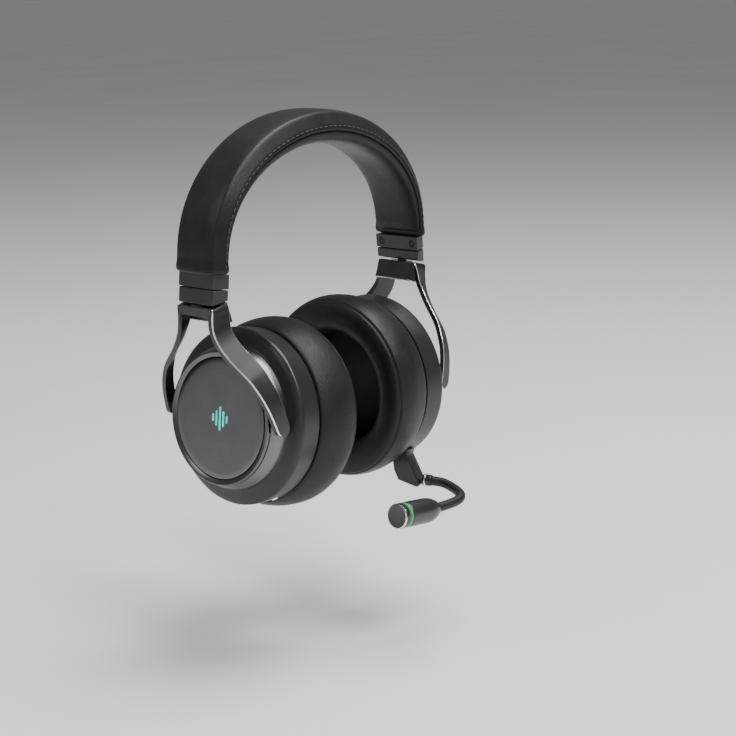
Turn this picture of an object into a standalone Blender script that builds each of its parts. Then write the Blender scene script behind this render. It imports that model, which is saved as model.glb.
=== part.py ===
"""Wireless gaming headset with a detachable boom microphone.

Sizes are in millimetres and degrees, and every mesh is made in metres. +Z is up, -Y is the
way the wearer faces and +X is the wearer's left. The origin is the middle of the underside
of the headband cushion, where the head or a hanger carries the headset.
"""

import math

import bmesh
import bpy
from mathutils import Matrix, Vector

MM = 0.001
SIDES = {"right": -1, "left": 1}
ENDS = {"front": -1, "rear": 1}
FIT_GAP = 0.3

# Headband: two ellipses about one centre, the outer skin and the seam line.
ARCH_CENTRE_Z = -50.0
SKIN_WIDTH, SKIN_RISE = 81.5, 66.5
SEAM_WIDTH, SEAM_RISE = 74.0, 56.2
SKIN_HALF_Y, SEAM_HALF_Y = 13.0, 16.6
COVER_STATIONS = 28
END_SPLAY = 5.0
CUSHION_DEPTH_TOP, CUSHION_DEPTH_END = 6.2, 1.8
CUSHION_SPAN = 96.0

# End caps and sliders, measured down the splayed end of the headband.
SLIDE_X, SLIDE_Z = 76.6, -57.3
BLOCK_HALF_DEPTH = 4.15
BLOCK_OUTER_HALF, BLOCK_INNER_HALF = 12.0, 14.6
CAP_HEIGHT = 7.2
BLOCK_GAP = 0.5
SCREW_SPACING = 10.6
STRIP_HALF_WIDTH, STRIP_THICKNESS, STRIP_TOP = 7.0, 1.2, 26.5
SLOT_CLEAR = 0.35

# Swivel and tilt axes meet at one point in each ear cup.
PIVOT_X, PIVOT_Z = 63.5, -133.6
SWIVEL_LEAN = 12.6
YOKE_TOP = 62.7
SWIVEL_GAP = 1.0
SWIVEL_PIN_R = 2.4
PIN_R, PIN_BORE_R = 1.8, 2.1
PIN_START, PIN_SOCKET_END = 31.5, 39.4
CUP_LEAN = {"right": 6.0, "left": 0.0}

# Yoke arm, by stations down its outer surface: half width, height above the pivot, bow away
# from the head, half depth, and how much wider the fork is at the arm's inner edge.
ARM_PATH = [
    (0.0, YOKE_TOP, 0.6, 5.2, 0.0), (10.8, YOKE_TOP, 0.6, 5.2, 0.0), (12.9, 61.2, 0.9, 5.2, 0.5),
    (13.5, 56.9, 2.0, 5.1, 1.3), (14.2, 52.2, 3.4, 4.8, 1.6), (15.8, 48.2, 4.1, 4.6, 1.9),
    (18.4, 44.1, 4.3, 4.6, 2.0), (21.8, 39.9, 4.1, 4.6, 2.1), (25.8, 35.7, 3.7, 4.6, 2.1),
    (29.8, 31.4, 3.2, 4.6, 2.0), (33.0, 27.0, 2.7, 4.5, 1.7), (37.1, 18.9, 2.0, 4.3, 1.4),
    (39.5, 10.6, 1.3, 4.1, 1.1), (40.6, 2.2, 0.6, 3.8, 0.7), (40.7, -1.4, 0.3, 3.6, 0.5),
    (40.6, -3.4, 0.2, 2.5, 0.3),
]
ARM_THICKNESS = 2.9
BRIDGE_OUTER_HEIGHT, BRIDGE_INNER_HEIGHT = 6.2, 10.2
BRIDGE_HALF_Y = 11.5

# Ear cup stations: distance from the headset's middle plane, and radius.
CUP_STEPS = 36
HOUSING_PROFILE = [
    (66.2, 33.3), (65.2, 34.0), (63.3, 35.8), (61.0, 37.0), (58.7, 37.5), (57.6, 40.4), (56.7, 43.7),
    (55.4, 45.7), (43.2, 45.0), (43.2, 42.7), (54.4, 43.2), (56.2, 37.6), (58.6, 35.3), (64.3, 31.6),
    (64.3, 9.6), (66.2, 9.6),
]
BEZEL_PROFILE = [(66.5, 34.3), (68.3, 34.3), (68.9, 33.7), (68.9, 32.7), (67.9, 31.1), (66.5, 31.1)]
PLATE_RADIUS, PLATE_BACK, PLATE_FACE = 30.8, 66.5, 68.2
PAD_PROFILE = [
    (41.7, 45.4), (40.2, 46.5), (35.6, 48.6), (30.0, 49.6), (25.6, 49.7), (21.2, 48.8), (18.2, 47.0),
    (16.4, 44.0), (16.0, 39.5), (17.2, 34.4), (20.8, 31.0), (28.0, 30.2), (41.7, 31.2),
]
PAD_RING = (42.9, 42.0, 30.7, 44.3)
BAFFLE = (45.6, 43.6, 24.2, 42.3)
DRIVER_PROFILE = [
    (44.3, 0.0), (44.9, 10.0), (46.1, 21.5), (46.1, 26.5), (47.4, 26.5), (47.4, 24.0), (50.5, 19.5),
    (50.5, 13.5), (56.4, 13.5), (56.4, 0.0),
]
SCRIM = (41.9, 41.3, 30.3)
FLANK_RADIUS = 45.2

# Lit emblem: five upright bars like a sound-level sign.
EMBLEM_BARS = [4.0, 8.0, 12.5, 8.0, 4.0]
EMBLEM_PITCH, EMBLEM_BAR_WIDTH = 2.4, 1.3
EMBLEM_FACE, EMBLEM_BACK = 68.1, 64.6
DIFFUSER = (65.6, 63.0, 9.0)

# Controls and ports on the flank: angle from straight down, positive to the rear.
WHEEL_ANGLE, WHEEL_RADIUS, WHEEL_OUT = 52.0, 7.0, 1.5
WHEEL_STATION, WHEEL_WIDTH = 49.0, 4.0
SWITCH_ANGLE, SWITCH_STATION = 27.0, 49.0
SWITCH_LENGTH, SWITCH_WIDTH = 6.0, 2.6
SWITCH_TRAVEL = 3.0
BUTTON_ANGLE, BUTTON_STATION, BUTTON_RADIUS = 8.0, 49.0, 2.4
STATUS_ANGLE, STATUS_STATION = -26.0, 46.2
USB_ANGLE, JACK_ANGLE = 10.0, 28.0
PORT_STATION = 48.7
MUTE_TRAVEL = 0.8

# Microphone: places are relative to the left cup's pivot height.
MIC_X, MIC_BASE_HALF_DEPTH = 46.8, 4.5
MIC_SEAT_RADIUS, MIC_SEAT_ANGLES = 46.1, (-26.0, -40.5)
MIC_BASE_FOOT = [(-30.6, -38.5), (-39.0, -52.3), (-39.1, -53.7), (-37.3, -54.9), (-24.2, -53.0), (-21.3, -48.0)]
MIC_FACE_SKEW = 2.4
MIC_PLUG_ANGLE = -33.0
COLLAR_PLACE, COLLAR_TURN = (46.8, -39.0, -51.3), 17.5
COLLAR_PROFILE = [(0, 0), (0, 3.5), (0.4, 3.75), (1.5, 3.75), (1.9, 3.4), (1.9, 0)]
BOOM_RADIUS, BOOM_START, BOOM_SIDES = 2.6, 4.9, 12
BOOM_ROUTE = [
    (50.3, -50.1, -52.0), (49.0, -58.1, -53.4), (44.7, -65.5, -54.2), (39.5, -68.7, -54.9),
    (32.5, -69.1, -55.4), (21.4, -68.0, -55.6),
]
CAPSULE_NECK, CAPSULE_RISE = (21.0, -68.0, -55.6), 6.1
CAPSULE_RADIUS, CAPSULE_LENGTH = 6.6, 32.6


def scaled(points):
    """Millimetre points as metre vectors."""
    return [Vector(p) * MM for p in points]


def add_object(name, mesh, parent=None):
    """Links a new object for a mesh, under an empty if there is one."""
    obj = bpy.data.objects.new(name, mesh)
    bpy.context.collection.objects.link(obj)
    obj.parent = parent
    return obj


def finish_mesh(bm, name, parent=None, smooth=None):
    """Turns a bmesh into an object whose faces point out."""
    bmesh.ops.remove_doubles(bm, verts=bm.verts, dist=1e-7)
    bmesh.ops.recalc_face_normals(bm, faces=bm.faces)
    mesh = bpy.data.meshes.new(name)
    bm.to_mesh(mesh)
    bm.free()
    if smooth:
        mesh.shade_smooth()
        mesh.set_sharp_from_angle(angle=math.radians(smooth))
    return add_object(name, mesh, parent)


def frame_empty(name, location, turn_y):
    """An empty that carries the pieces of one moving frame, turned about Y."""
    empty = bpy.data.objects.new(name, None)
    bpy.context.collection.objects.link(empty)
    empty.location = Vector(location) * MM
    empty.rotation_euler = (0.0, math.radians(turn_y), 0.0)
    return empty


def loft(name, rings, parent=None, closed=False, smooth=None):
    """Joins rings of points by quads. An open loft gets a cap at each end."""
    bm = bmesh.new()
    loops = [[bm.verts.new(p) for p in scaled(ring)] for ring in rings]
    count = len(loops[0])
    pairs = list(zip(loops, loops[1:]))
    if closed:
        pairs.append((loops[-1], loops[0]))
    for low, high in pairs:
        for i in range(count):
            j = (i + 1) % count
            bm.faces.new((low[i], low[j], high[j], high[i]))
    if not closed:
        bm.faces.new(loops[0])
        bm.faces.new(loops[-1])
    return finish_mesh(bm, name, parent, smooth)


def sleeve(name, outer_rings, inner_rings, parent=None, smooth=None):
    """A tube with a wall: the outer skin out and back through the inner skin."""
    return loft(name, outer_rings + inner_rings[::-1], parent, closed=True, smooth=smooth)


def turned(name, profile, parent, steps=CUP_STEPS, smooth=35):
    """Spins a closed (x, radius) profile about the X axis."""
    bm = bmesh.new()
    verts = [bm.verts.new((x * MM, 0.0, r * MM)) for x, r in profile]
    edges = [bm.edges.new((verts[i], verts[i - 1])) for i in range(len(verts))]
    on_axis = [e for e in edges if all(abs(v.co.z) < 1e-9 for v in e.verts)]
    for edge in on_axis:
        bm.edges.remove(edge)
        edges.remove(edge)
    bmesh.ops.spin(
        bm, geom=verts + edges, cent=(0, 0, 0), axis=(1, 0, 0), angle=math.tau, steps=steps, use_merge=True
    )
    return finish_mesh(bm, name, parent, smooth)


def turn_into(obj, matrix):
    """Bakes a placement, in millimetres, into an object's mesh."""
    scale = Matrix.Scale(MM, 4)
    obj.data.transform(scale @ matrix @ scale.inverted())
    return obj


def prism(name, outline, low, high, parent=None, smooth=None):
    """Extrudes a (y, z) outline along X from low to high."""
    return loft(name, [[(x, y, z) for y, z in outline] for x in (low, high)], parent, smooth=smooth)


def box_points(x_half, y_half, z):
    return [(-x_half, -y_half, z), (x_half, -y_half, z), (x_half, y_half, z), (-x_half, y_half, z)]


def rounded_outline(half_u, half_v, radius, steps=3):
    """A rectangle with round corners, as (u, v) points."""
    points = []
    for corner, (su, sv) in enumerate([(1, 1), (-1, 1), (-1, -1), (1, -1)]):
        for step in range(steps + 1):
            angle = math.radians(90 * corner + 90 * step / steps)
            u = su * (half_u - radius) + radius * math.cos(angle)
            v = sv * (half_v - radius) + radius * math.sin(angle)
            points.append((u, v))
    return points


def cut(target, cutter):
    """Cuts a hole and keeps the cutter as a wire guide."""
    modifier = target.modifiers.new("cut_" + cutter.name, "BOOLEAN")
    modifier.operation = "DIFFERENCE"
    modifier.object = cutter
    cutter.hide_render = True
    cutter.display_type = "WIRE"


def joined(target, other):
    """Unites two overlapping shapes into the first, and keeps the second as a guide."""
    modifier = target.modifiers.new("join_" + other.name, "BOOLEAN")
    modifier.operation = "UNION"
    modifier.object = other
    other.hide_render = True
    other.display_type = "WIRE"


def group(name, pieces, parent):
    """Joins the meshes of separate identical pieces into one node."""
    bm = bmesh.new()
    for piece in pieces:
        bm.from_mesh(piece.data)
        bpy.data.objects.remove(piece)
    mesh = bpy.data.meshes.new(name)
    bm.to_mesh(mesh)
    bm.free()
    mesh.shade_smooth()
    mesh.set_sharp_from_angle(angle=math.radians(35))
    return add_object(name, mesh, parent)


def paint(obj, name, colour, roughness, metallic=0.0):
    """Gives an object a Principled material, shared by name."""
    material = bpy.data.materials.get(name)
    if material is None:
        material = bpy.data.materials.new(name)
        material.use_nodes = True
        shader = material.node_tree.nodes["Principled BSDF"]
        shader.inputs["Base Color"].default_value = (*colour, 1.0)
        shader.inputs["Roughness"].default_value = roughness
        shader.inputs["Metallic"].default_value = metallic
    obj.data.materials.clear()
    obj.data.materials.append(material)
    return obj


def leather(obj):
    return paint(obj, "black_leatherette", (0.03, 0.03, 0.032), 0.5)


def foam(obj):
    return paint(obj, "cushion_fabric", (0.02, 0.02, 0.021), 0.9)


def shell_plastic(obj):
    return paint(obj, "shell_plastic", (0.045, 0.045, 0.048), 0.45)


def gunmetal(obj):
    return paint(obj, "gunmetal_aluminium", (0.12, 0.12, 0.125), 0.35, 1.0)


def steel(obj):
    return paint(obj, "spring_steel", (0.55, 0.55, 0.56), 0.3, 1.0)


def inner_plastic(obj):
    return paint(obj, "inner_plastic", (0.02, 0.02, 0.02), 0.6)


def circuit_board(obj):
    return paint(obj, "circuit_board", (0.02, 0.12, 0.06), 0.5)


def lit_teal(obj):
    return paint(obj, "lit_teal", (0.2, 0.8, 0.78), 0.3)


def lit_green(obj):
    return paint(obj, "lit_green", (0.15, 0.7, 0.3), 0.3)


# ---------------------------------------------------------------- headband


def arch_point(angle, inward, extra=0.0):
    """A point of the headband's side view.

    The angle runs from the crown, 0, to an end, 90 degrees either way. Inward is 0 on the
    outer skin and 1 on the seam. Past 90 degrees the band runs straight along its splay,
    10 degrees standing for 7.1 mm. Extra moves the point towards the head.
    """
    turn = math.radians(max(-90.0, min(90.0, angle)))
    width = SKIN_WIDTH + (SEAM_WIDTH - SKIN_WIDTH) * inward - extra
    rise = SKIN_RISE + (SEAM_RISE - SKIN_RISE) * inward - extra
    x = width * math.sin(turn)
    z = ARCH_CENTRE_Z + rise * math.cos(turn)
    past = max(0.0, abs(angle) - 90.0) * 0.71
    side = math.copysign(1.0, angle)
    splay = math.radians(END_SPLAY)
    return x + side * past * math.sin(splay), z - past * math.cos(splay)


def arch_ring(angle, section):
    """The cross-section points (y, inward, extra) placed at an angle of the arch."""
    ring = []
    for y, inward, extra in section:
        x, z = arch_point(angle, inward, extra)
        ring.append((x, y, z))
    return ring


def spread_angles(limit, count):
    return [-limit + 2.0 * limit * i / (count - 1) for i in range(count)]


def make_headband():
    """The wrapped cover, its cushion and the spring band and cable inside."""
    half_o, half_i = SKIN_HALF_Y, SEAM_HALF_Y
    skin = [
        (-half_o + 2.5, 0.0, 0), (half_o - 2.5, 0.0, 0), (half_o, 0.2, 0), (half_i, 0.93, 0),
        (half_i - 1.2, 1.0, 0), (-half_i + 1.2, 1.0, 0), (-half_i, 0.93, 0), (-half_o, 0.2, 0),
    ]
    hollow = [
        (-10.0, 0.13, 0), (0.0, 0.13, 0), (10.0, 0.13, 0), (11.0, 0.5, 0), (10.0, 0.86, 0), (0.0, 0.86, 0),
        (-10.0, 0.86, 0), (-11.0, 0.5, 0),
    ]
    angles = spread_angles(99.2, COVER_STATIONS)
    outer = [arch_ring(a, skin) for a in angles]
    inner = [arch_ring(a, hollow) for a in angles]
    leather(sleeve("headband_cover", outer, inner, smooth=40))

    rings = []
    for angle in spread_angles(CUSHION_SPAN, 30):
        share = max(0.0, math.cos(math.radians(angle) * 90.0 / CUSHION_SPAN)) ** 0.6
        depth = CUSHION_DEPTH_END + (CUSHION_DEPTH_TOP - CUSHION_DEPTH_END) * share
        section = [
            (-14.6, 1.0, FIT_GAP), (14.6, 1.0, FIT_GAP), (15.2, 1.0, 1.4), (12.6, 1.0, depth * 0.8),
            (7.0, 1.0, depth), (-7.0, 1.0, depth), (-12.6, 1.0, depth * 0.8), (-15.2, 1.0, 1.4),
        ]
        rings.append(arch_ring(angle, section))
    foam(loft("headband_cushion", rings, smooth=40))

    band = [(-8.0, 0.2, 0), (8.0, 0.2, 0), (8.0, 0.2, 1.0), (-8.0, 0.2, 1.0)]
    steel(loft("spring_band", [arch_ring(a, band) for a in spread_angles(98.8, 26)], smooth=40))

    cable = []
    for angle in spread_angles(74.0, 28):
        x, z = arch_point(angle, 0.62)
        normal = Vector((math.sin(math.radians(angle)), 0.0, math.cos(math.radians(angle))))
        across = Vector((0.0, 1.0, 0.0))
        centre = Vector((x, 8.6, z))
        turns = [math.tau * i / 6 for i in range(6)]
        cable.append([centre + 0.9 * (normal * math.cos(t) + across * math.sin(t)) for t in turns])
    inner_plastic(loft("link_cable", cable, smooth=60))


def block_ring(z_outer, z_inner, side, shrink=0.0):
    """A slice of the tapering end block: narrow at the outer face, wide at the inner."""
    out_x, in_x = side * (BLOCK_HALF_DEPTH - shrink), -side * (BLOCK_HALF_DEPTH - shrink)
    out_y, in_y = BLOCK_OUTER_HALF - shrink, BLOCK_INNER_HALF - shrink
    return [(out_x, -out_y, z_outer), (out_x, out_y, z_outer), (in_x, in_y, z_inner), (in_x, -in_y, z_inner)]


def slot_ring(z):
    return box_points(STRIP_THICKNESS / 2 + SLOT_CLEAR, STRIP_HALF_WIDTH + SLOT_CLEAR, z)


def make_end(label, side):
    """One end of the headband: the fixed cap, its screws, and the slider."""
    frame = frame_empty("slide_frame_" + label, (side * SLIDE_X, 0.0, SLIDE_Z), -side * END_SPLAY)
    outer = [block_ring(z, z, side) for z in (0.0, -CAP_HEIGHT)]
    cap = sleeve("end_cap_" + label, outer, [slot_order(slot_ring(z), side) for z in (0.0, -CAP_HEIGHT)], frame)
    shell_plastic(cap)

    for end, way in ENDS.items():
        screw = turned(f"end_cap_screw_{label}_{end}", [(0, 0), (0, 1.6), (1.0, 1.6), (1.0, 0)], frame, steps=12)
        recess = turned(f"screw_recess_{label}_{end}", [(-0.3, 0), (-0.3, 1.9), (3.0, 1.9), (3.0, 0)], frame, steps=12)
        for piece in (screw, recess):
            turn_into(piece, Matrix.Translation((BLOCK_HALF_DEPTH - 1.2, way * SCREW_SPACING, -CAP_HEIGHT / 2)))
            turn_into(piece, Matrix.Rotation(0.0 if side < 0 else math.pi, 4, "Z"))
        cut(cap, recess)
        steel(screw)

    top = -CAP_HEIGHT - BLOCK_GAP
    slope = math.tan(math.radians(END_SPLAY + SWIVEL_LEAN)) * BLOCK_HALF_DEPTH
    foot = swivel_foot()
    block = loft(
        "slider_block_" + label, [block_ring(top, top, side), block_ring(foot - slope, foot + slope, side)], frame
    )
    shell_plastic(block)
    strip = loft(
        "slider_strip_" + label,
        [box_points(STRIP_THICKNESS / 2, STRIP_HALF_WIDTH, z) for z in (top + FIT_GAP, STRIP_TOP)], frame,
    )
    steel(strip)
    return block


def slot_order(ring, side):
    """Turns the slot's corners so that they pair with the block's corners."""
    low_x_low_y, high_x_low_y, high_x_high_y, low_x_high_y = ring
    if side > 0:
        return [high_x_low_y, high_x_high_y, low_x_high_y, low_x_low_y]
    return [low_x_low_y, low_x_high_y, high_x_high_y, high_x_low_y]


def swivel_foot():
    """The height, in the slide frame, where the swivel plane crosses the block's middle."""
    lean = math.radians(SWIVEL_LEAN)
    reach = YOKE_TOP + SWIVEL_GAP
    x = PIVOT_X + reach * math.sin(lean)
    z = PIVOT_Z + reach * math.cos(lean)
    splay = math.radians(END_SPLAY)
    return (x - SLIDE_X) * -math.sin(splay) + (z - SLIDE_Z) * math.cos(splay)


# ---------------------------------------------------------------- yoke


def pin_profile(low, high, radius):
    return [(low, 0), (low, radius), (high, radius), (high, 0)]


def arm_stations():
    """The full fork outline from the front tip over the bridge to the rear tip.

    Each station is (place in the fork's plane, inward normal, bow, half depth, slant).
    """
    mirrored = [(-station[0], *station[1:]) for station in reversed(ARM_PATH[1:])]
    path = [(Vector((y, z)), *rest) for y, z, *rest in mirrored + ARM_PATH]
    stations = []
    for i, (point, *rest) in enumerate(path):
        before, after = path[max(i - 1, 0)][0], path[min(i + 1, len(path) - 1)][0]
        along = (after - before).normalized()
        stations.append((point, Vector((along.y, -along.x)), *rest))
    return stations


def make_yoke(label, side):
    """The fork that carries a cup, with its swivel pin, washer and pivot pins."""
    frame = frame_empty("swivel_frame_" + label, (side * PIVOT_X, 0.0, PIVOT_Z), side * SWIVEL_LEAN)
    rings = []
    for point, normal, bow, depth, slant in arm_stations():
        on_bridge = abs(point.x) < BRIDGE_HALF_Y
        outer, inner = point + normal * slant, point - normal * slant
        outer_back = outer + normal * (BRIDGE_OUTER_HEIGHT if on_bridge else ARM_THICKNESS)
        inner_back = inner + normal * (BRIDGE_INNER_HEIGHT if on_bridge else ARM_THICKNESS)
        out_x, in_x = side * (bow + depth), side * (bow - depth)
        rings.append([(out_x, *outer), (out_x, *outer_back), (in_x, *inner_back), (in_x, *inner)])
    yoke = loft("yoke_" + label, rings, frame, smooth=40)
    bore = turned("yoke_bore_" + label, [(50, 0), (50, SWIVEL_PIN_R + 0.3), (70, SWIVEL_PIN_R + 0.3), (70, 0)],
                  frame, steps=16)
    turn_into(bore, Matrix.Rotation(-math.pi / 2, 4, "Y"))
    cut(yoke, bore)
    sockets = turned("pin_sockets_" + label, pin_profile(-PIN_SOCKET_END, PIN_SOCKET_END, PIN_BORE_R), frame, steps=14)
    cut(yoke, turn_into(sockets, Matrix.Rotation(math.pi / 2, 4, "Z")))
    gunmetal(yoke)

    shaft, foot_r = SWIVEL_PIN_R, 4.2
    pin = turned(
        "swivel_pin_" + label,
        [(51.6, 0), (51.6, foot_r), (52.6, foot_r), (52.9, shaft), (67.0, shaft), (67.0, 0)], frame, steps=16,
    )
    steel(turn_into(pin, Matrix.Rotation(-math.pi / 2, 4, "Y")))
    low, high = YOKE_TOP + 0.25, YOKE_TOP + SWIVEL_GAP - 0.25
    washer = turned(
        "swivel_washer_" + label, [(low, shaft + 0.3), (low, 6.0), (high, 6.0), (high, shaft + 0.3)], frame, steps=18
    )
    inner_plastic(turn_into(washer, Matrix.Rotation(-math.pi / 2, 4, "Y")))

    for end, way in ENDS.items():
        profile = pin_profile(PIN_START, PIN_SOCKET_END - FIT_GAP, PIN_R)
        pin = turned(f"pivot_pin_{label}_{end}", profile, frame, steps=14)
        steel(turn_into(pin, Matrix.Rotation(way * math.pi / 2, 4, "Z")))
    return frame


def bore_slider(block, label):
    """Drills the slider block for the swivel pin."""
    frame = bpy.data.objects["swivel_frame_" + label]
    hole = turned(
        "block_bore_" + label, [(60, 0), (60, SWIVEL_PIN_R + 0.3), (67.6, SWIVEL_PIN_R + 0.3), (67.6, 0)],
        frame, steps=16,
    )
    turn_into(hole, Matrix.Rotation(-math.pi / 2, 4, "Y"))
    cut(block, hole)


# ---------------------------------------------------------------- ear cups


def cup_profile(profile, side):
    """Stations from the middle plane as places from the pivot, on one side."""
    return [(side * (x - PIVOT_X), r) for x, r in profile]


def disc(name, outer, inner, hole, radius, side, parent, steps=CUP_STEPS):
    """A flat ring or disc between two stations."""
    profile = [(outer, hole), (outer, radius), (inner, radius), (inner, hole)]
    return turned(name, cup_profile(profile, side), parent, steps)


def flank_matrix(side, station, angle, radius):
    """Puts a piece on the cup's flank: its X looks out of the flank, Y along it and Z across."""
    turn = math.radians(angle)
    out = Vector((0.0, math.sin(turn), -math.cos(turn)))
    along = Vector((0.0, math.cos(turn), math.sin(turn)))
    across = out.cross(along)
    place = Vector((side * (station - PIVOT_X), 0.0, 0.0)) + out * radius
    matrix = Matrix((out, along, across)).transposed().to_4x4()
    matrix.translation = place
    return matrix


def flank_block(name, size, side, station, angle, radius, parent, corner=0.4):
    """A small block on the flank, as deep, long and wide as size says."""
    deep, long_, wide = size
    outline = rounded_outline(long_ / 2, wide / 2, corner, steps=2)
    block = prism(name, outline, -deep, 0.0, parent)
    return turn_into(block, flank_matrix(side, station, angle, radius))


def pill(height, width, low, high, name, parent):
    outline = rounded_outline(width / 2, height / 2, width / 2 - 0.01, steps=3)
    return prism(name, outline, low, high, parent)


def make_emblem(label, side, plate, frame):
    """The lit bars with the diffuser behind them, and the windows that they fill in the plate."""
    bars, windows = [], []
    for i, height in enumerate(EMBLEM_BARS):
        y = (i - (len(EMBLEM_BARS) - 1) / 2) * EMBLEM_PITCH
        place = Matrix.Translation((0.0, y, 0.0))
        ends = sorted((side * (EMBLEM_BACK - PIVOT_X), side * (EMBLEM_FACE - PIVOT_X)))
        bars.append(turn_into(pill(height, EMBLEM_BAR_WIDTH, *ends, "bar", frame), place))
        wide = sorted((side * (PLATE_BACK - 1 - PIVOT_X), side * (PLATE_FACE + 1 - PIVOT_X)))
        grown = pill(height + 0.4, EMBLEM_BAR_WIDTH + 0.4, *wide, "bar_window", frame)
        windows.append(turn_into(grown, place))
    emblem = disc("emblem_" + label, *DIFFUSER[:2], 0.0, DIFFUSER[2], side, frame, steps=20)
    joined(emblem, group("emblem_bars_" + label, bars, frame))
    lit_teal(emblem)
    cut(plate, group("emblem_windows_" + label, windows, frame))


def make_cup(label, side):
    """One ear cup: shells, plate, driver and cushion, about its pivot."""
    frame = frame_empty("cup_frame_" + label, (side * PIVOT_X, 0.0, PIVOT_Z), CUP_LEAN[label])
    housing = turned("cup_housing_" + label, cup_profile(HOUSING_PROFILE, side), frame)
    shell_plastic(housing)
    bearing = turned("pivot_bore_" + label, pin_profile(-50, 50, PIN_BORE_R), frame, steps=14)
    turn_into(bearing, Matrix.Rotation(math.pi / 2, 4, "Z"))
    cut(housing, bearing)

    gunmetal(turned("plate_bezel_" + label, cup_profile(BEZEL_PROFILE, side), frame))
    plate = disc("outer_plate_" + label, PLATE_FACE, PLATE_BACK, 0.0, PLATE_RADIUS, side, frame)
    gunmetal(plate)
    make_emblem(label, side, plate, frame)

    outer, inner, hole, radius = BAFFLE
    inner_plastic(disc("driver_baffle_" + label, outer, inner, hole, radius, side, frame))
    steel(turned("driver_" + label, cup_profile(DRIVER_PROFILE, side), frame, steps=28))
    outer, inner, hole, radius = PAD_RING
    inner_plastic(disc("cushion_ring_" + label, outer, inner, hole, radius, side, frame))
    foam(disc("driver_cloth_" + label, *SCRIM[:2], 0.0, SCRIM[2], side, frame, steps=28))
    leather(turned("ear_cushion_" + label, cup_profile(PAD_PROFILE, side), frame, smooth=60))

    return frame, housing


def make_right_fittings(frame, housing):
    """The battery, control board, volume wheel, power switch, pairing button and light."""
    side = SIDES["right"]
    low, high = sorted((side * (57.2 - PIVOT_X), side * (61.4 - PIVOT_X)))
    battery = prism("battery", rounded_outline(19.0, 13.0, 2.0), low, high, frame)
    paint(battery, "battery_wrap", (0.25, 0.27, 0.3), 0.4)
    low, high = sorted((side * (52.0 - PIVOT_X), side * (53.2 - PIVOT_X)))
    board = prism("control_board", [(-6, -30), (-6, -20), (16, -20), (16, -30)], low, high, frame)
    circuit_board(board)

    half = WHEEL_WIDTH / 2
    rim = [(-half, 0), (-half, WHEEL_RADIUS - 0.5), (-half + 0.5, WHEEL_RADIUS), (half - 0.5, WHEEL_RADIUS),
           (half, WHEEL_RADIUS - 0.5), (half, 0)]
    wheel = turned("volume_wheel", rim, frame, steps=24)
    centre = flank_matrix(side, WHEEL_STATION, WHEEL_ANGLE, FLANK_RADIUS + WHEEL_OUT - WHEEL_RADIUS).translation
    shell_plastic(turn_into(wheel, Matrix.Translation(centre)))
    cut(housing, flank_block("wheel_slot", (6.0, 13.6, WHEEL_WIDTH + 0.8), side, WHEEL_STATION, WHEEL_ANGLE,
                             FLANK_RADIUS + 2.0, frame))
    switch = flank_block("power_switch", (3.6, SWITCH_LENGTH, SWITCH_WIDTH), side, SWITCH_STATION,
                         SWITCH_ANGLE, FLANK_RADIUS + 1.0, frame)
    shell_plastic(switch)
    long_slot = (8.0, SWITCH_LENGTH + SWITCH_TRAVEL + 1.2, SWITCH_WIDTH + 0.8)
    slot = flank_block("switch_slot", long_slot, side, SWITCH_STATION, SWITCH_ANGLE + 1.9, FLANK_RADIUS + 4.0,
                       frame)
    cut(housing, slot)
    button = turned("pairing_button", [(-4, 0), (-4, BUTTON_RADIUS), (0.4, BUTTON_RADIUS), (0.8, 1.9), (0.8, 0)],
                    frame, steps=18)
    place = flank_matrix(side, BUTTON_STATION, BUTTON_ANGLE, FLANK_RADIUS)
    shell_plastic(turn_into(button, place))
    hole = turned("button_hole", [(-5, 0), (-5, BUTTON_RADIUS + 0.35), (5, BUTTON_RADIUS + 0.35), (5, 0)],
                  frame, steps=18)
    cut(housing, turn_into(hole, place))
    light = flank_block("status_light", (2.8, 3.4, 1.0), side, STATUS_STATION, STATUS_ANGLE, FLANK_RADIUS - 0.1, frame)
    paint(light, "clear_light", (0.85, 0.85, 0.82), 0.25)
    cut(housing, flank_block("light_slot", (8.0, 4.0, 1.6), side, STATUS_STATION, STATUS_ANGLE,
                             FLANK_RADIUS + 3.0, frame))


def port(name, half_long, half_wide, wall, depth, angle, housing, frame, corner):
    """A socket sunk in the left flank: a walled sleeve in a hole of its shape."""
    side = SIDES["left"]
    outside = rounded_outline(half_long, half_wide, corner)
    inside = rounded_outline(half_long - wall, half_wide - wall, corner - wall)
    rings = [[(x, u, v) for u, v in shape] for shape, x in (
        (outside, -depth), (outside, 0.0), (inside, 0.0), (inside, 1.2 - depth))]
    body = loft(name, rings, frame, smooth=40)
    place = flank_matrix(side, PORT_STATION, angle, FLANK_RADIUS - 0.4)
    steel(turn_into(body, place))
    hole = prism(name + "_hole", rounded_outline(half_long + 0.3, half_wide + 0.3, corner + 0.3), -depth - 2, 6, frame)
    cut(housing, turn_into(hole, place))


def make_left_fittings(frame, housing):
    """The main board, the two ports and the microphone socket."""
    side = SIDES["left"]
    low, high = sorted((side * (58.0 - PIVOT_X), side * (59.2 - PIVOT_X)))
    board = prism("main_board", rounded_outline(20.0, 15.0, 3.0), low, high, frame)
    circuit_board(board)
    port("usb_port", 4.5, 1.6, 0.4, 7.0, USB_ANGLE, housing, frame, 1.5)
    port("audio_jack", 3.1, 3.1, 1.3, 11.0, JACK_ANGLE, housing, frame, 3.05)
    port("microphone_socket", 4.6, 2.0, 0.5, 7.0, MIC_PLUG_ANGLE, housing, frame, 1.2)


# ---------------------------------------------------------------- microphone


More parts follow.
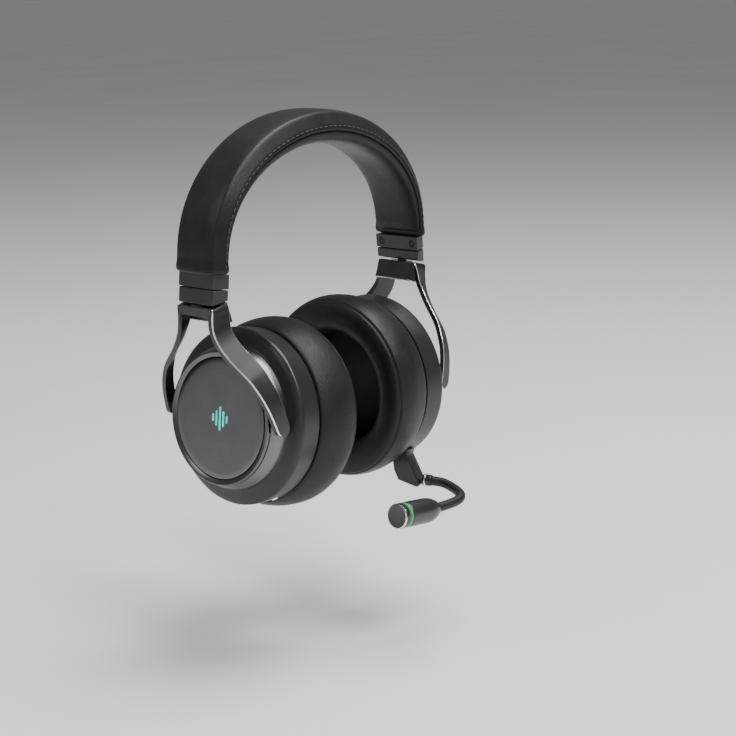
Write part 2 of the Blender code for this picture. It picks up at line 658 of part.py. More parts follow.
def make_microphone(frame):
    """The plug-in base, its collar, the gooseneck and the capsule with its mute button."""
    first, last = MIC_SEAT_ANGLES
    turns = [math.radians(first + (last - first) * i / 4) for i in range(5)]
    seat = [(MIC_SEAT_RADIUS * math.sin(t), -MIC_SEAT_RADIUS * math.cos(t)) for t in turns]
    rings = []
    for offset, skew in ((-MIC_BASE_HALF_DEPTH, 0.0), (MIC_BASE_HALF_DEPTH, MIC_FACE_SKEW)):
        x = MIC_X - PIVOT_X + offset
        foot = [(y + skew * (y < -30.0), z) for y, z in MIC_BASE_FOOT]
        rings.append([(x, y, z) for y, z in seat + foot])
    base = loft("microphone_base", rings, frame)
    bevel = base.modifiers.new("edge", "BEVEL")
    bevel.width = 0.5 * MM
    bevel.segments = 1
    shell_plastic(base)
    plug = prism("microphone_plug", rounded_outline(3.6, 1.1, 0.5, steps=2), -5.2, 0.0, frame)
    steel(turn_into(plug, flank_matrix(SIDES["left"], PORT_STATION, MIC_PLUG_ANGLE, FLANK_RADIUS + 0.35)))

    place = Matrix.Translation(Vector(COLLAR_PLACE) - Vector((PIVOT_X, 0.0, 0.0)))
    place = place @ Matrix.Rotation(math.radians(COLLAR_TURN - 90.0), 4, "Z")
    collar = turned("boom_collar", COLLAR_PROFILE, frame, steps=20)
    gunmetal(turn_into(collar, place))
    collar_seat = turned("collar_seat", [(-0.3, 0), (-0.3, 4.1), (9, 4.1), (9, 0)], frame, steps=20)
    cut(base, turn_into(collar_seat, place))

    start = place @ Vector((BOOM_START, 0.0, 0.0))
    route = smooth_route([start] + [Vector(p) - Vector((PIVOT_X, 0.0, 0.0)) for p in BOOM_ROUTE], 22)
    inner_plastic(round_tube("microphone_boom", route, BOOM_RADIUS, frame))

    aim = Matrix.Translation(Vector(CAPSULE_NECK) - Vector((PIVOT_X, 0.0, 0.0)))
    aim = aim @ Matrix.Rotation(math.radians(180.0 + CAPSULE_RISE), 4, "Y")
    r, length = CAPSULE_RADIUS, CAPSULE_LENGTH
    body = [(0, 0), (0, 3.4), (1.2, 4.2), (10.6, r), (length - 6.2, r), (length - 6.2, r - 0.9), (9.0, r - 0.9), (9.0, 0)]
    gunmetal(turn_into(turned("capsule_body", body, frame, steps=28), aim))
    ring_back, ring_front = length - 5.9, length - 4.6
    ring = [(ring_back, r - 1.4), (ring_back, r - 0.1), (ring_front, r - 0.1), (ring_front, r - 1.4)]
    lit_green(turn_into(turned("mute_light_ring", ring, frame, steps=28), aim))
    rim = ring_front + MUTE_TRAVEL + FIT_GAP
    cap = [(21.0, 0), (21.0, 3.4), (rim, 3.4), (rim, r - 0.2), (rim + 0.2, r), (length - 0.6, r), (length, r - 0.6),
           (length, 0)]
    gunmetal(turn_into(turned("mute_button", cap, frame, steps=28), aim))


def round_tube(name, route, radius, parent):
    """A round tube along a route, with a ball end at the start and a flat end."""
    first = (route[1] - route[0]).normalized()
    stations = []
    for step in range(4):
        turn = math.radians(10 + 80 * step / 4)
        stations.append((route[0] - first * radius * math.cos(turn), first, radius * math.sin(turn)))
    for i, place in enumerate(route):
        along = (route[min(i + 1, len(route) - 1)] - route[max(i - 1, 0)]).normalized()
        stations.append((place, along, radius))
    rings = []
    for place, along, size in stations:
        level = Vector((0.0, 0.0, 1.0)).cross(along).normalized()
        upright = along.cross(level)
        turns = [math.tau * i / BOOM_SIDES for i in range(BOOM_SIDES)]
        rings.append([place + size * (level * math.cos(t) + upright * math.sin(t)) for t in turns])
    return loft(name, rings, parent, smooth=50)


def smooth_route(points, count):
    """Evenly spaced points on a Catmull-Rom curve through the given ones."""
    ends = [points[0] * 2 - points[1], *points, points[-1] * 2 - points[-2]]
    dense = []
    for i in range(len(points) - 1):
        a, b, c, d = ends[i:i + 4]
        for step in range(12):
            t = step / 12
            dense.append(0.5 * (2 * b + (c - a) * t + (2 * a - 5 * b + 4 * c - d) * t * t
                                + (3 * b - a - 3 * c + d) * t ** 3))
    dense.append(points[-1])
    lengths = [0.0]
    for p, q in zip(dense, dense[1:]):
        lengths.append(lengths[-1] + (q - p).length)
    even = []
    for i in range(count):
        goal = lengths[-1] * i / (count - 1)
        k = min(next(j for j, length in enumerate(lengths) if length >= goal - 1e-9), len(dense) - 1)
        if k == 0:
            even.append(dense[0])
            continue
        share = (goal - lengths[k - 1]) / (lengths[k] - lengths[k - 1])
        even.append(dense[k - 1].lerp(dense[k], share))
    return even


def main():
    for obj in list(bpy.data.objects):
        bpy.data.objects.remove(obj)
    make_headband()
    for label, side in SIDES.items():
        block = make_end(label, side)
        make_yoke(label, side)
        bore_slider(block, label)
        frame, housing = make_cup(label, side)
        if label == "right":
            make_right_fittings(frame, housing)
        else:
            make_left_fittings(frame, housing)
            make_microphone(frame)


main()
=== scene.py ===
"""Looks of an over-ear gaming headset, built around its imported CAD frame.

Lengths in the dataclasses are millimetres and angles are degrees; meshes are in metres. +Z is up,
-Y is the way the wearer faces and +X is the wearer's left. The origin is the middle of the
underside of the headband cushion.
"""

from __future__ import annotations

import logging
import math
from collections.abc import Callable
from dataclasses import dataclass, field
from enum import Enum

import bmesh
import bpy
import numpy as np
from mathutils import Matrix, Vector


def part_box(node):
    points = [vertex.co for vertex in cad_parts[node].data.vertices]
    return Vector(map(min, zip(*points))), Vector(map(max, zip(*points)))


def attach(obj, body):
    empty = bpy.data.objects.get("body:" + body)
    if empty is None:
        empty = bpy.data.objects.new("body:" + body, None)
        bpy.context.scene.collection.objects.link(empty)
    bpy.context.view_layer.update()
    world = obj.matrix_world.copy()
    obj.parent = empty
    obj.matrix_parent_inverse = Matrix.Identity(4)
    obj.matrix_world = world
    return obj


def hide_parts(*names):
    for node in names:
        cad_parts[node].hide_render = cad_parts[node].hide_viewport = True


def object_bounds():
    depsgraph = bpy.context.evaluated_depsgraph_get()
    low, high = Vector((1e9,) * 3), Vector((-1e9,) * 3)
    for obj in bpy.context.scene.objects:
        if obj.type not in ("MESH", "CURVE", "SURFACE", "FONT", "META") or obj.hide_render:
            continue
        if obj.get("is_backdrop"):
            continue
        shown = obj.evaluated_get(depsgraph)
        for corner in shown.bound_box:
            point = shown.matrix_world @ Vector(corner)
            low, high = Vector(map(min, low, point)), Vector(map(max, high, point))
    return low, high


Array = np.ndarray
Material = bpy.types.Material
Piece = bpy.types.Object
Triple = tuple[float, float, float]
Colour = Triple
Line = list[tuple[float, float]]

MM = 0.001
MERGE_METRES = 2e-6
COPY_MERGE_METRES = 1e-6
ROUND_ABOVE_DEGREES = 32.0
CUP_PIVOT = (63.5, -133.6)
LOG = logging.getLogger("headset")

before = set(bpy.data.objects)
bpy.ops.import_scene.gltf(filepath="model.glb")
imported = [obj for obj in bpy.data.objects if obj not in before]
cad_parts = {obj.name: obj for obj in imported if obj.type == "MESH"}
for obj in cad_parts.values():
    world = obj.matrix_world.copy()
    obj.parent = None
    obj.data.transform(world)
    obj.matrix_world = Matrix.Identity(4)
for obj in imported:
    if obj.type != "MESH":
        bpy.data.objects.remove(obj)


class Side(Enum):
    """The wearer's side that a piece belongs to, and its sign along X."""

    RIGHT = -1
    LEFT = 1

    @property
    def label(self) -> str:
        """The side's name in node and body names."""
        return self.name.lower()

    @property
    def cup_lean(self) -> float:
        """How far the side's cup leans at rest, in degrees."""
        return 6.0 if self is Side.RIGHT else 0.0


# Curves and meshes


def circle(count: int) -> Array:
    """Even angles round a full turn, in radians."""
    return np.linspace(0.0, math.tau, count, endpoint=False)


def unit(vectors: Array) -> Array:
    """Vectors made one long, along the last axis."""
    return vectors / np.linalg.norm(vectors, axis=-1, keepdims=True)


def bell(value: Array, middle: float, width: float) -> Array:
    """A bell curve of height 1: e to the power of minus the squared distance over the width."""
    return np.exp(-((value - middle) / width) ** 2)


def distances(line: Array) -> Array:
    """How far along a polyline each of its points lies."""
    return np.concatenate([[0.0], np.cumsum(np.linalg.norm(np.diff(line, axis=0), axis=1))])


def read_at(line: Array, goal: Array) -> Array:
    """Places on a polyline at the distances along it given."""
    run = distances(line)
    return np.stack([np.interp(goal, run, column) for column in line.T], -1)


def resample(line: Array, count: int) -> Array:
    """Reads a polyline at even steps of its length, keeping its shape."""
    return read_at(line, np.linspace(0.0, distances(line)[-1], count))


def fillet(points: Line, radius: float, closed: bool = False, steps: int = 5) -> Array:
    """Rounds the corners of a polyline.

    Each corner is replaced by a quadratic curve that leaves one edge and joins the next at the
    radius from the corner, or at 45% of a shorter edge.

    Args:
        points: The corners.
        radius: How far from a corner its curve starts.
        closed: True if the last corner joins the first.
        steps: Points on each corner's curve, less one.

    Returns:
        The rounded line, one point a row.
    """
    corners = np.asarray(points, float)
    t = np.linspace(0.0, 1.0, steps + 1)[:, None]
    out = []
    for i, corner in enumerate(corners):
        if not closed and i in (0, len(corners) - 1):
            out.append(corner[None])
            continue
        edges = [corners[i - 1] - corner, corners[(i + 1) % len(corners)] - corner]
        lengths = [np.linalg.norm(edge) for edge in edges]
        start, end = (
            corner + edge * (min(radius, 0.45 * length) / max(length, 1e-9))
            for edge, length in zip(edges, lengths)
        )
        out.append((1 - t) ** 2 * start + 2 * t * (1 - t) * corner + t**2 * end)
    return np.concatenate(out)


def spline(points: Array, count: int, dense: int = 24) -> Array:
    """A Catmull-Rom curve through the points, read at even steps of its length.

    Args:
        points: Points of any dimension, one a row.
        count: How many points to return.
        dense: Points worked out between two neighbours.

    Returns:
        The points along the curve, one a row.
    """
    p = np.asarray(points, float)
    ends = np.concatenate([2 * p[:1] - p[1:2], p, 2 * p[-1:] - p[-2:-1]])
    t = np.linspace(0.0, 1.0, dense, endpoint=False)[:, None, None]
    a, b, c, d = ends[:-3], ends[1:-2], ends[2:-1], ends[3:]
    square, cube = 2 * a - 5 * b + 4 * c - d, 3 * b - a - 3 * c + d
    curve = 0.5 * (2 * b + (c - a) * t + square * t**2 + cube * t**3)
    flat = curve.transpose(1, 0, 2).reshape(-1, p.shape[1])
    return resample(np.concatenate([flat, p[-1:]]), count)


def ripple(
    u: Array, v: Array, seed: int, waves: int = 7, low: float = 2.0, high: float = 9.0
) -> Array:
    """A smooth random field: a sum of a few sine waves of u and v with whole turns in u.

    Args:
        u: An angle in radians.
        v: Any second coordinate.
        seed: Which field.
        waves: How many waves are summed.
        low: The fewest turns of a wave round u.
        high: The most turns.

    Returns:
        Values of about -1 to 1, of the shape of u + v.
    """
    rng = np.random.default_rng(seed)
    total = np.zeros(np.broadcast(u, v).shape)
    for _ in range(waves):
        turns = round(rng.uniform(low, high))
        drift, start, height = rng.uniform(-2, 2), rng.uniform(0, math.tau), rng.uniform(0.4, 1)
        total += np.sin(turns * u + drift * v + start) * height
    return total / (0.5 * waves)


def leaned(points: Array, degrees: float) -> Array:
    """Turns points about the Y axis, from +Z towards +X."""
    lean = math.radians(degrees)
    x, y, z = np.moveaxis(points, -1, 0)
    turned_x = x * math.cos(lean) + z * math.sin(lean)
    return np.stack([turned_x, y, z * math.cos(lean) - x * math.sin(lean)], -1)


def spin(profile: Array, steps: int) -> Array:
    """Spins a profile about its axis: y and z are the radius times sine and cosine.

    Args:
        profile: (station, radius) points, one set for all steps or one a step.
        steps: Steps round the axis.

    Returns:
        Steps by points by (station, y, z).
    """
    turn = circle(steps)[:, None]
    profile = np.broadcast_to(profile, (steps, *profile.shape[-2:]))
    station, radius = profile[..., 0], profile[..., 1]
    return np.stack([station, radius * np.sin(turn), radius * np.cos(turn)], -1)


def tube_points(route: Array, radius: Array, sides: int) -> Array:
    """Rings of a round tube: the route plus the radius round two directions square to it.

    Args:
        route: The centre line, one point a row.
        radius: The radius at each point.
        sides: Points on a ring.

    Returns:
        Rows by sides by 3.
    """
    along = unit(np.gradient(route, axis=0))
    level = unit(np.cross([0.0, 0.0, 1.0], along))
    upright = np.cross(along, level)
    turn = circle(sides)[:, None]
    ring = level[:, None] * np.cos(turn) + upright[:, None] * np.sin(turn)
    return route[:, None] + ring * radius[:, None, None]


def grid_object(
    name: str,
    points: Array,
    close_rows: bool = False,
    close_columns: bool = True,
    caps: bool = False,
    bands: Array | None = None,
    sharp: float = 35.0,
) -> Piece:
    """Makes a mesh from a grid of points, joining neighbours by quads.

    Args:
        name: The piece's name.
        points: Rows by columns by 3, in millimetres.
        close_rows: True if the last row joins the first.
        close_columns: True if the last column joins the first.
        caps: True to close the first and last row with a face.
        bands: The material index of each column of faces, on a grid without caps.
        sharp: Edges turned by more than this angle stay sharp.

    Returns:
        The new object, at the origin.
    """
    index = np.arange(points.shape[0] * points.shape[1]).reshape(points.shape[:2])
    low, high = (index, np.roll(index, -1, 0)) if close_rows else (index[:-1], index[1:])
    quads = np.stack([low, np.roll(low, -1, 1), np.roll(high, -1, 1), high], -1)
    if not close_columns:
        quads = quads[:, :-1]
    faces = quads.reshape(-1, 4).tolist()
    if caps:
        faces += [index[0].tolist()[::-1], index[-1].tolist()]
    mesh = bpy.data.meshes.new(name)
    mesh.from_pydata((points.reshape(-1, 3) * MM).tolist(), [], faces)
    if bands is not None:
        mesh.polygons.foreach_set("material_index", np.tile(bands, len(low)).astype(np.int32))
    return weld(name, mesh, sharp)


def weld(name: str, mesh: bpy.types.Mesh, sharp: float) -> Piece:
    """Merges doubled points, turns the faces outwards and links an object for the mesh."""
    bm = bmesh.new()
    bm.from_mesh(mesh)
    bmesh.ops.remove_doubles(bm, verts=bm.verts, dist=MERGE_METRES)
    bmesh.ops.dissolve_degenerate(bm, dist=1e-7, edges=bm.edges)
    bmesh.ops.recalc_face_normals(bm, faces=bm.faces)
    bm.to_mesh(mesh)
    bm.free()
    shade(mesh, sharp)
    obj = bpy.data.objects.new(name, mesh)
    bpy.context.collection.objects.link(obj)
    return obj


def shade(mesh: bpy.types.Mesh, sharp: float) -> None:
    """Smooths a mesh's shading but for edges turned by more than an angle in degrees."""
    mesh.shade_smooth()
    mesh.set_sharp_from_angle(angle=math.radians(sharp))


def carve(obj: Piece, cutters: list[Piece], sharp: float) -> None:
    """Cuts each cutter's shape out of an object's mesh, then removes the cutters."""
    for cutter in cutters:
        modifier = obj.modifiers.new("cut", "BOOLEAN")
        modifier.operation = "DIFFERENCE"
        modifier.object = cutter
    depsgraph = bpy.context.evaluated_depsgraph_get()
    depsgraph.update()
    mesh = bpy.data.meshes.new_from_object(obj.evaluated_get(depsgraph))
    obj.modifiers.clear()
    obj.data = mesh
    shade(mesh, sharp)
    for cutter in cutters:
        bpy.data.objects.remove(cutter)


def round_edges(obj: Piece, width: float, segments: int = 3) -> None:
    """Rounds an object's sharp edges with a live Bevel of that width in millimetres."""
    modifier = obj.modifiers.new("round", "BEVEL")
    modifier.width = width * MM
    modifier.segments = segments
    modifier.limit_method = "ANGLE"
    modifier.angle_limit = math.radians(ROUND_ABOVE_DEGREES)


def softened_copy(node: str, width: float, segments: int = 3) -> Piece:
    """A merged copy of a CAD node whose flat faces are whole and whose edges are rounded.

    Args:
        node: The CAD node.
        width: The edges' rounding in millimetres.
        segments: Steps of the rounding.

    Returns:
        The copy, named after the node.
    """
    bm = bmesh.new()
    bm.from_mesh(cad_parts[node].data)
    bmesh.ops.remove_doubles(bm, verts=bm.verts, dist=COPY_MERGE_METRES)
    flat = math.radians(1.0)
    bmesh.ops.dissolve_limit(bm, angle_limit=flat, verts=bm.verts, edges=bm.edges)
    mesh = bpy.data.meshes.new(node)
    bm.to_mesh(mesh)
    bm.free()
    obj = weld(node + "_finished", mesh, 30.0)
    round_edges(obj, width, segments)
    return obj


def place_piece(obj: Piece, materials: list[Material], body: str, slot: str, *nodes: str) -> None:
    """Dresses a piece and rides it on a body.

    Args:
        obj: The piece.
        materials: Its materials, in the order of its faces' indices.
        body: The body it moves with.
        slot: Not used.
        nodes: The CAD nodes whose place it takes.
    """
    for material in materials:
        obj.data.materials.append(material)
    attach(obj, body)
    if nodes:
        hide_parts(*nodes)
    LOG.info("%s: %d faces on %s", obj.name, len(obj.data.polygons), body)


# Materials


def operator(name: str, reflected: bool = False) -> Callable[[Wire, Wire | float], Wire]:
    """Makes a method that adds the Math node of that name, its values swapped if reflected."""

    def method(self: Wire, other: Wire | float) -> Wire:
        """Adds the node and returns its result."""
        first, second = (other, self) if reflected else (self, other)
        return self.shader.node("Math", {"operation": name}, {0: first, 1: second})

    return method


@dataclass
class Wire:
    """A node output that can be used in sums, with plain numbers or other wires."""

    shader: Shader
    socket: bpy.types.NodeSocket

    __add__ = __radd__ = operator("ADD")
    __mul__ = __rmul__ = operator("MULTIPLY")
    __sub__, __rsub__ = operator("SUBTRACT"), operator("SUBTRACT", True)
    __truediv__, __rtruediv__ = operator("DIVIDE"), operator("DIVIDE", True)
    __pow__ = operator("POWER")


class Shader:
    """A material's node tree with one Principled shader."""

    def __init__(self, name: str, **constants: float) -> None:
        """Starts a material and sets constants on its shader, with _ for a space in names."""
        self.material = bpy.data.materials.new(name)
        self.material.use_nodes = True
        self.tree = self.material.node_tree
        self.main = self.tree.nodes["Principled BSDF"]
        for key, value in constants.items():
            self.main.inputs[key.replace("_", " ")].default_value = value
        self.place = self.node("TexCoord", {}, {}, "Object")

    def node(
        self, kind: str, settings: dict[str, object], inputs: dict[int | str, object],
        output: int | str = 0,
    ) -> Wire:
        """Adds a node.

        Args:
            kind: Its type's name after ShaderNode.
            settings: Properties, set first. "stops" sets a ramp's (place, grey) pairs.
            inputs: A value or a wire for each named or numbered input.
            output: The output that is wanted.

        Returns:
            A wire for that output.
        """
        node = self.tree.nodes.new("ShaderNode" + kind)
        for key, value in settings.items():
            if key == "stops":
                self._set_stops(node.color_ramp, value)
            else:
                setattr(node, key, value)
        for key, value in inputs.items():
            if isinstance(value, Wire):
                self.tree.links.new(value.socket, node.inputs[key])
            else:
                node.inputs[key].default_value = value
        return Wire(self, node.outputs[output])

    @staticmethod
    def _set_stops(ramp: bpy.types.ColorRamp, stops: Line) -> None:
        """Gives a ramp its grey stops."""
        while len(ramp.elements) < len(stops):
            ramp.elements.new(0.5)
        for element, (position, grey) in zip(ramp.elements, stops):
            element.position = position
            element.color = (grey, grey, grey, 1.0)

    def feed(self, name: str, wire: Wire) -> None:
        """Links a wire to one of the Principled shader's inputs."""
        self.tree.links.new(wire.socket, self.main.inputs[name])

    def noise(self, size: float, detail: float = 3.0) -> Wire:
        """Noise with lumps of about that size in millimetres."""
        inputs = {"Vector": self.place, "Scale": 1.0 / (size * MM), "Detail": detail}
        return self.node("TexNoise", {}, inputs)

    def coordinates(self, place: Wire) -> list[Wire]:
        """The x, y and z of a place."""
        first = self.node("SeparateXYZ", {}, {0: place})
        return [Wire(self, output) for output in first.socket.node.outputs]

    def shape(self, operation: str, wire: Wire) -> Wire:
        """A Math node of one value."""
        return self.node("Math", {"operation": operation}, {0: wire})

    def spread(self, wire: Wire, low: float = 0.0, high: float = 1.0) -> Wire:
        """Maps 0.3 to 0.7, where noise mostly lies, to low to high."""
        inputs = {"Value": wire, "From Min": 0.3, "From Max": 0.7, "To Min": low, "To Max": high}
        return self.node("MapRange", {}, inputs)

    def tint(self, wire: Wire, colour: Colour, dark: float, light: float) -> Wire:
        """Mixes a colour made darker and made lighter by a 0 to 1 wire."""
        ends = [tuple(min(1.0, part * factor) for part in colour) for factor in (dark, light)]
        inputs = {0: wire, 6: (*ends[0], 1.0), 7: (*ends[1], 1.0)}
        return self.node("Mix", {"data_type": "RGBA"}, inputs, 2)

    def bump(self, wire: Wire, depth: float, strength: float = 1.0) -> None:
        """Feeds Normal with a height of that depth in millimetres."""
        inputs = {"Height": wire, "Distance": depth * MM, "Strength": strength}
        self.feed("Normal", self.node("Bump", {}, inputs))


@dataclass(frozen=True)
class Leatherette:
    """Thin coated cloth over foam: pebbled grain, soft creases and a faint worn sheen."""

    name: str
    colour: Colour = (0.0065, 0.0065, 0.0068)
    pebble: float = 0.85
    roughness: float = 0.43
    crease: float = 1.5

    def build(self) -> Material:
        """Makes the material."""
        shader = Shader(self.name, Specular_IOR_Level=0.36, Sheen_Weight=0.02, Sheen_Roughness=0.4)
        inputs = {"Vector": shader.place, "Scale": 1.0 / (self.pebble * MM)}
        cells = shader.node("TexVoronoi", {"feature": "DISTANCE_TO_EDGE"}, inputs)
        stops = [(0.0, 0.0), (0.16, 0.75), (0.5, 1.0)]
        pebbles = shader.node("ValToRGB", {"stops": stops}, {0: cells})
        broad = shader.noise(16.0)
        fine = shader.noise(0.35, 2.0)
        rough = shader.spread(broad, self.roughness - 0.06, self.roughness + 0.09)
        shader.feed("Roughness", rough)
        shader.feed("Base Color", shader.tint(shader.spread(broad), self.colour, 1.0, 1.5))
        warp = shader.noise(9.0, 2.0)
        folds = shader.noise(3.2, 4.0)
        creases = (shader.shape("ABSOLUTE", folds - 0.5) * 2.0) ** 0.5
        height = pebbles * 0.8 + fine * 0.35 + creases * shader.spread(warp, 0.0, self.crease)
        shader.bump(height, 0.055, 0.75)
        return shader.material


@dataclass(frozen=True)
class Moulded:
    """Moulded or blasted surface: even colour, very fine grain and slight wear in its gloss."""

    name: str
    colour: Colour
    roughness: float
    metallic: float = 0.0
    grain: float = 0.28
    depth: float = 0.012

    def build(self) -> Material:
        """Makes the material."""
        shader = Shader(self.name, Metallic=self.metallic)
        broad = shader.noise(11.0, 4.0)
        fine = shader.noise(self.grain, 2.0)
        rough = shader.spread(broad, self.roughness * 0.88, self.roughness * 1.14)
        shader.feed("Roughness", rough)
        mix = shader.spread(fine * 0.6 + broad * 0.4)
        shader.feed("Base Color", shader.tint(mix, self.colour, 1.0, 1.22))
        shader.bump(fine, self.depth)
        return shader.material


@dataclass(frozen=True)
class Spun:
    """Spun metal: fine rings about a cup's axis, in the gloss, the colour and the surface."""

    name: str
    side: Side
    colour: Colour
    roughness: float
    ring: float = 0.11
    scatter: float = 1.1

    def build(self) -> Material:
        """Makes the material."""
        shader = Shader(self.name, Metallic=1.0)
        centre = (self.side.value * CUP_PIVOT[0] * MM, 0.0, CUP_PIVOT[1] * MM)
        turn = (0.0, math.radians(self.side.cup_lean), 0.0)
        inputs = {"Vector": shader.place, "Location": centre, "Rotation": turn}
        _, y, z = shader.coordinates(shader.node("Mapping", {"vector_type": "TEXTURE"}, inputs))
        radius = (y * y + z * z) ** 0.5
        inputs = {"W": radius / (self.ring * MM), "Detail": 3.0}
        rings = shader.node("TexNoise", {"noise_dimensions": "1D"}, inputs)
        broad = shader.noise(9.0)
        rough = shader.spread(rings, self.roughness - 0.05, self.roughness + 0.07)
        shader.feed("Roughness", rough)
        mix = shader.spread(rings * 0.7 + broad * 0.3)
        shader.feed("Base Color", shader.tint(mix, self.colour, 0.88, 1.14))
        tilt = (rings - 0.5) * self.scatter
        self.tilt_normals(shader, y / radius * tilt, z / radius * tilt)
        return shader.material

    def tilt_normals(self, shader: Shader, y: Wire, z: Wire) -> None:
        """Leans the surface's own normal outwards and inwards in turn, from ring to ring.

        The normal is the surface's plus the outward direction times a noise of the radius, made
        one long again. That spreads a light's reflection into two wedges, as turned metal does.

        Args:
            shader: The material's nodes.
            y: The lean's part along the cup's own Y axis.
            z: Its part along the cup's own upright axis.
        """
        lean = math.radians(self.side.cup_lean)
        push = shader.node("CombineXYZ", {}, {0: z * math.sin(lean), 1: y, 2: z * math.cos(lean)})
        turned = {"vector_type": "VECTOR", "convert_from": "OBJECT", "convert_to": "WORLD"}
        push = shader.node("VectorTransform", turned, {0: push})
        normal = shader.node("NewGeometry", {}, {}, "Normal")
        total = shader.node("VectorMath", {"operation": "ADD"}, {0: normal, 1: push})
        shader.feed("Normal", shader.node("VectorMath", {"operation": "NORMALIZE"}, {0: total}))


@dataclass(frozen=True)
class Knit:
    """Thin knitted cloth: two crossed rows of loops, from sines of two coordinates."""

    name: str
    colour: Colour = (0.006, 0.006, 0.0062)
    loop: float = 0.9

    def build(self) -> Material:
        """Makes the material."""
        shader = Shader(self.name, Roughness=0.92, Sheen_Weight=0.25)
        _, y, z = shader.coordinates(shader.place)
        turns = math.tau / (self.loop * MM)
        weave = shader.shape("SINE", y * turns) * shader.shape("SINE", z * turns) * 0.5 + 0.5
        shader.feed("Base Color", shader.tint(weave, self.colour, 0.5, 1.9))
        shader.bump(weave, 0.12)
        return shader.material


@dataclass(frozen=True)
class Glow:
    """A lit plastic light guide, a little brighter in the middle of each lump."""

    name: str
    colour: Colour
    strength: float

    def build(self) -> Material:
        """Makes the material."""
        shader = Shader(self.name, Roughness=0.3, Emission_Strength=self.strength)
        lumps = shader.spread(shader.noise(4.0, 1.0))
        shader.feed("Base Color", shader.tint(lumps, self.colour, 0.6, 0.8))
        shader.feed("Emission Color", shader.tint(lumps, self.colour, 0.8, 1.25))
        return shader.material


class Palette:
    """Every finish of the headset, built once."""

    def __init__(self) -> None:
        """Builds the materials."""
        self.leather = Leatherette("black_leatherette").build()
        self.pad_leather = Leatherette(
            "cushion_leatherette", pebble=0.7, roughness=0.45, crease=4.0
        ).build()
        self.thread = Moulded("seam_thread", (0.055,) * 3, 0.7, grain=0.2, depth=0.03).build()
        self.satin = Moulded("satin_plastic", (0.014, 0.014, 0.0145), 0.36, grain=0.3).build()
        self.slider = Moulded("slider_plastic", (0.026, 0.026, 0.0265), 0.38, grain=0.3).build()
        self.neck = Moulded("neck_gunmetal", (0.16, 0.16, 0.163), 0.3, 1.0, depth=0.001).build()
        self.yoke = Moulded("yoke_gunmetal", (0.07, 0.07, 0.072), 0.37, 1.0, depth=0.002).build()
        self.polished = Moulded("polished_edge", (0.82,) * 3, 0.2, 1.0, depth=0.0005).build()
        self.inner = Moulded("inner_plastic", (0.006,) * 3, 0.6).build()
        self.rubber = Moulded("boom_rubber", (0.008,) * 3, 0.5, grain=0.4, depth=0.02).build()
        self.capsule = Moulded(
            "capsule_gunmetal", (0.085, 0.085, 0.086), 0.36, 0.9, depth=0.003
        ).build()
        self.screw = Moulded("black_oxide", (0.03, 0.03, 0.031), 0.35, 0.8, depth=0.004).build()
        self.strip = Moulded("slider_steel", (0.2, 0.2, 0.203), 0.36, 1.0, depth=0.004).build()
        self.steel = Moulded("plain_steel", (0.5, 0.5, 0.51), 0.28, 1.0, depth=0.004).build()
        self.board = Moulded("board_green", (0.012, 0.09, 0.045), 0.45).build()
        self.wrap = Moulded("battery_wrap", (0.25, 0.27, 0.3), 0.4).build()
        self.cloth = Knit("driver_knit").build()
        self.teal = Glow("emblem_teal", (0.05, 0.62, 0.6), 0.9).build()
        self.green = Glow("mute_green", (0.045, 0.4, 0.13), 0.6).build()
        self.white = Glow("status_white", (0.9, 0.9, 0.86), 1.6).build()


# Headband


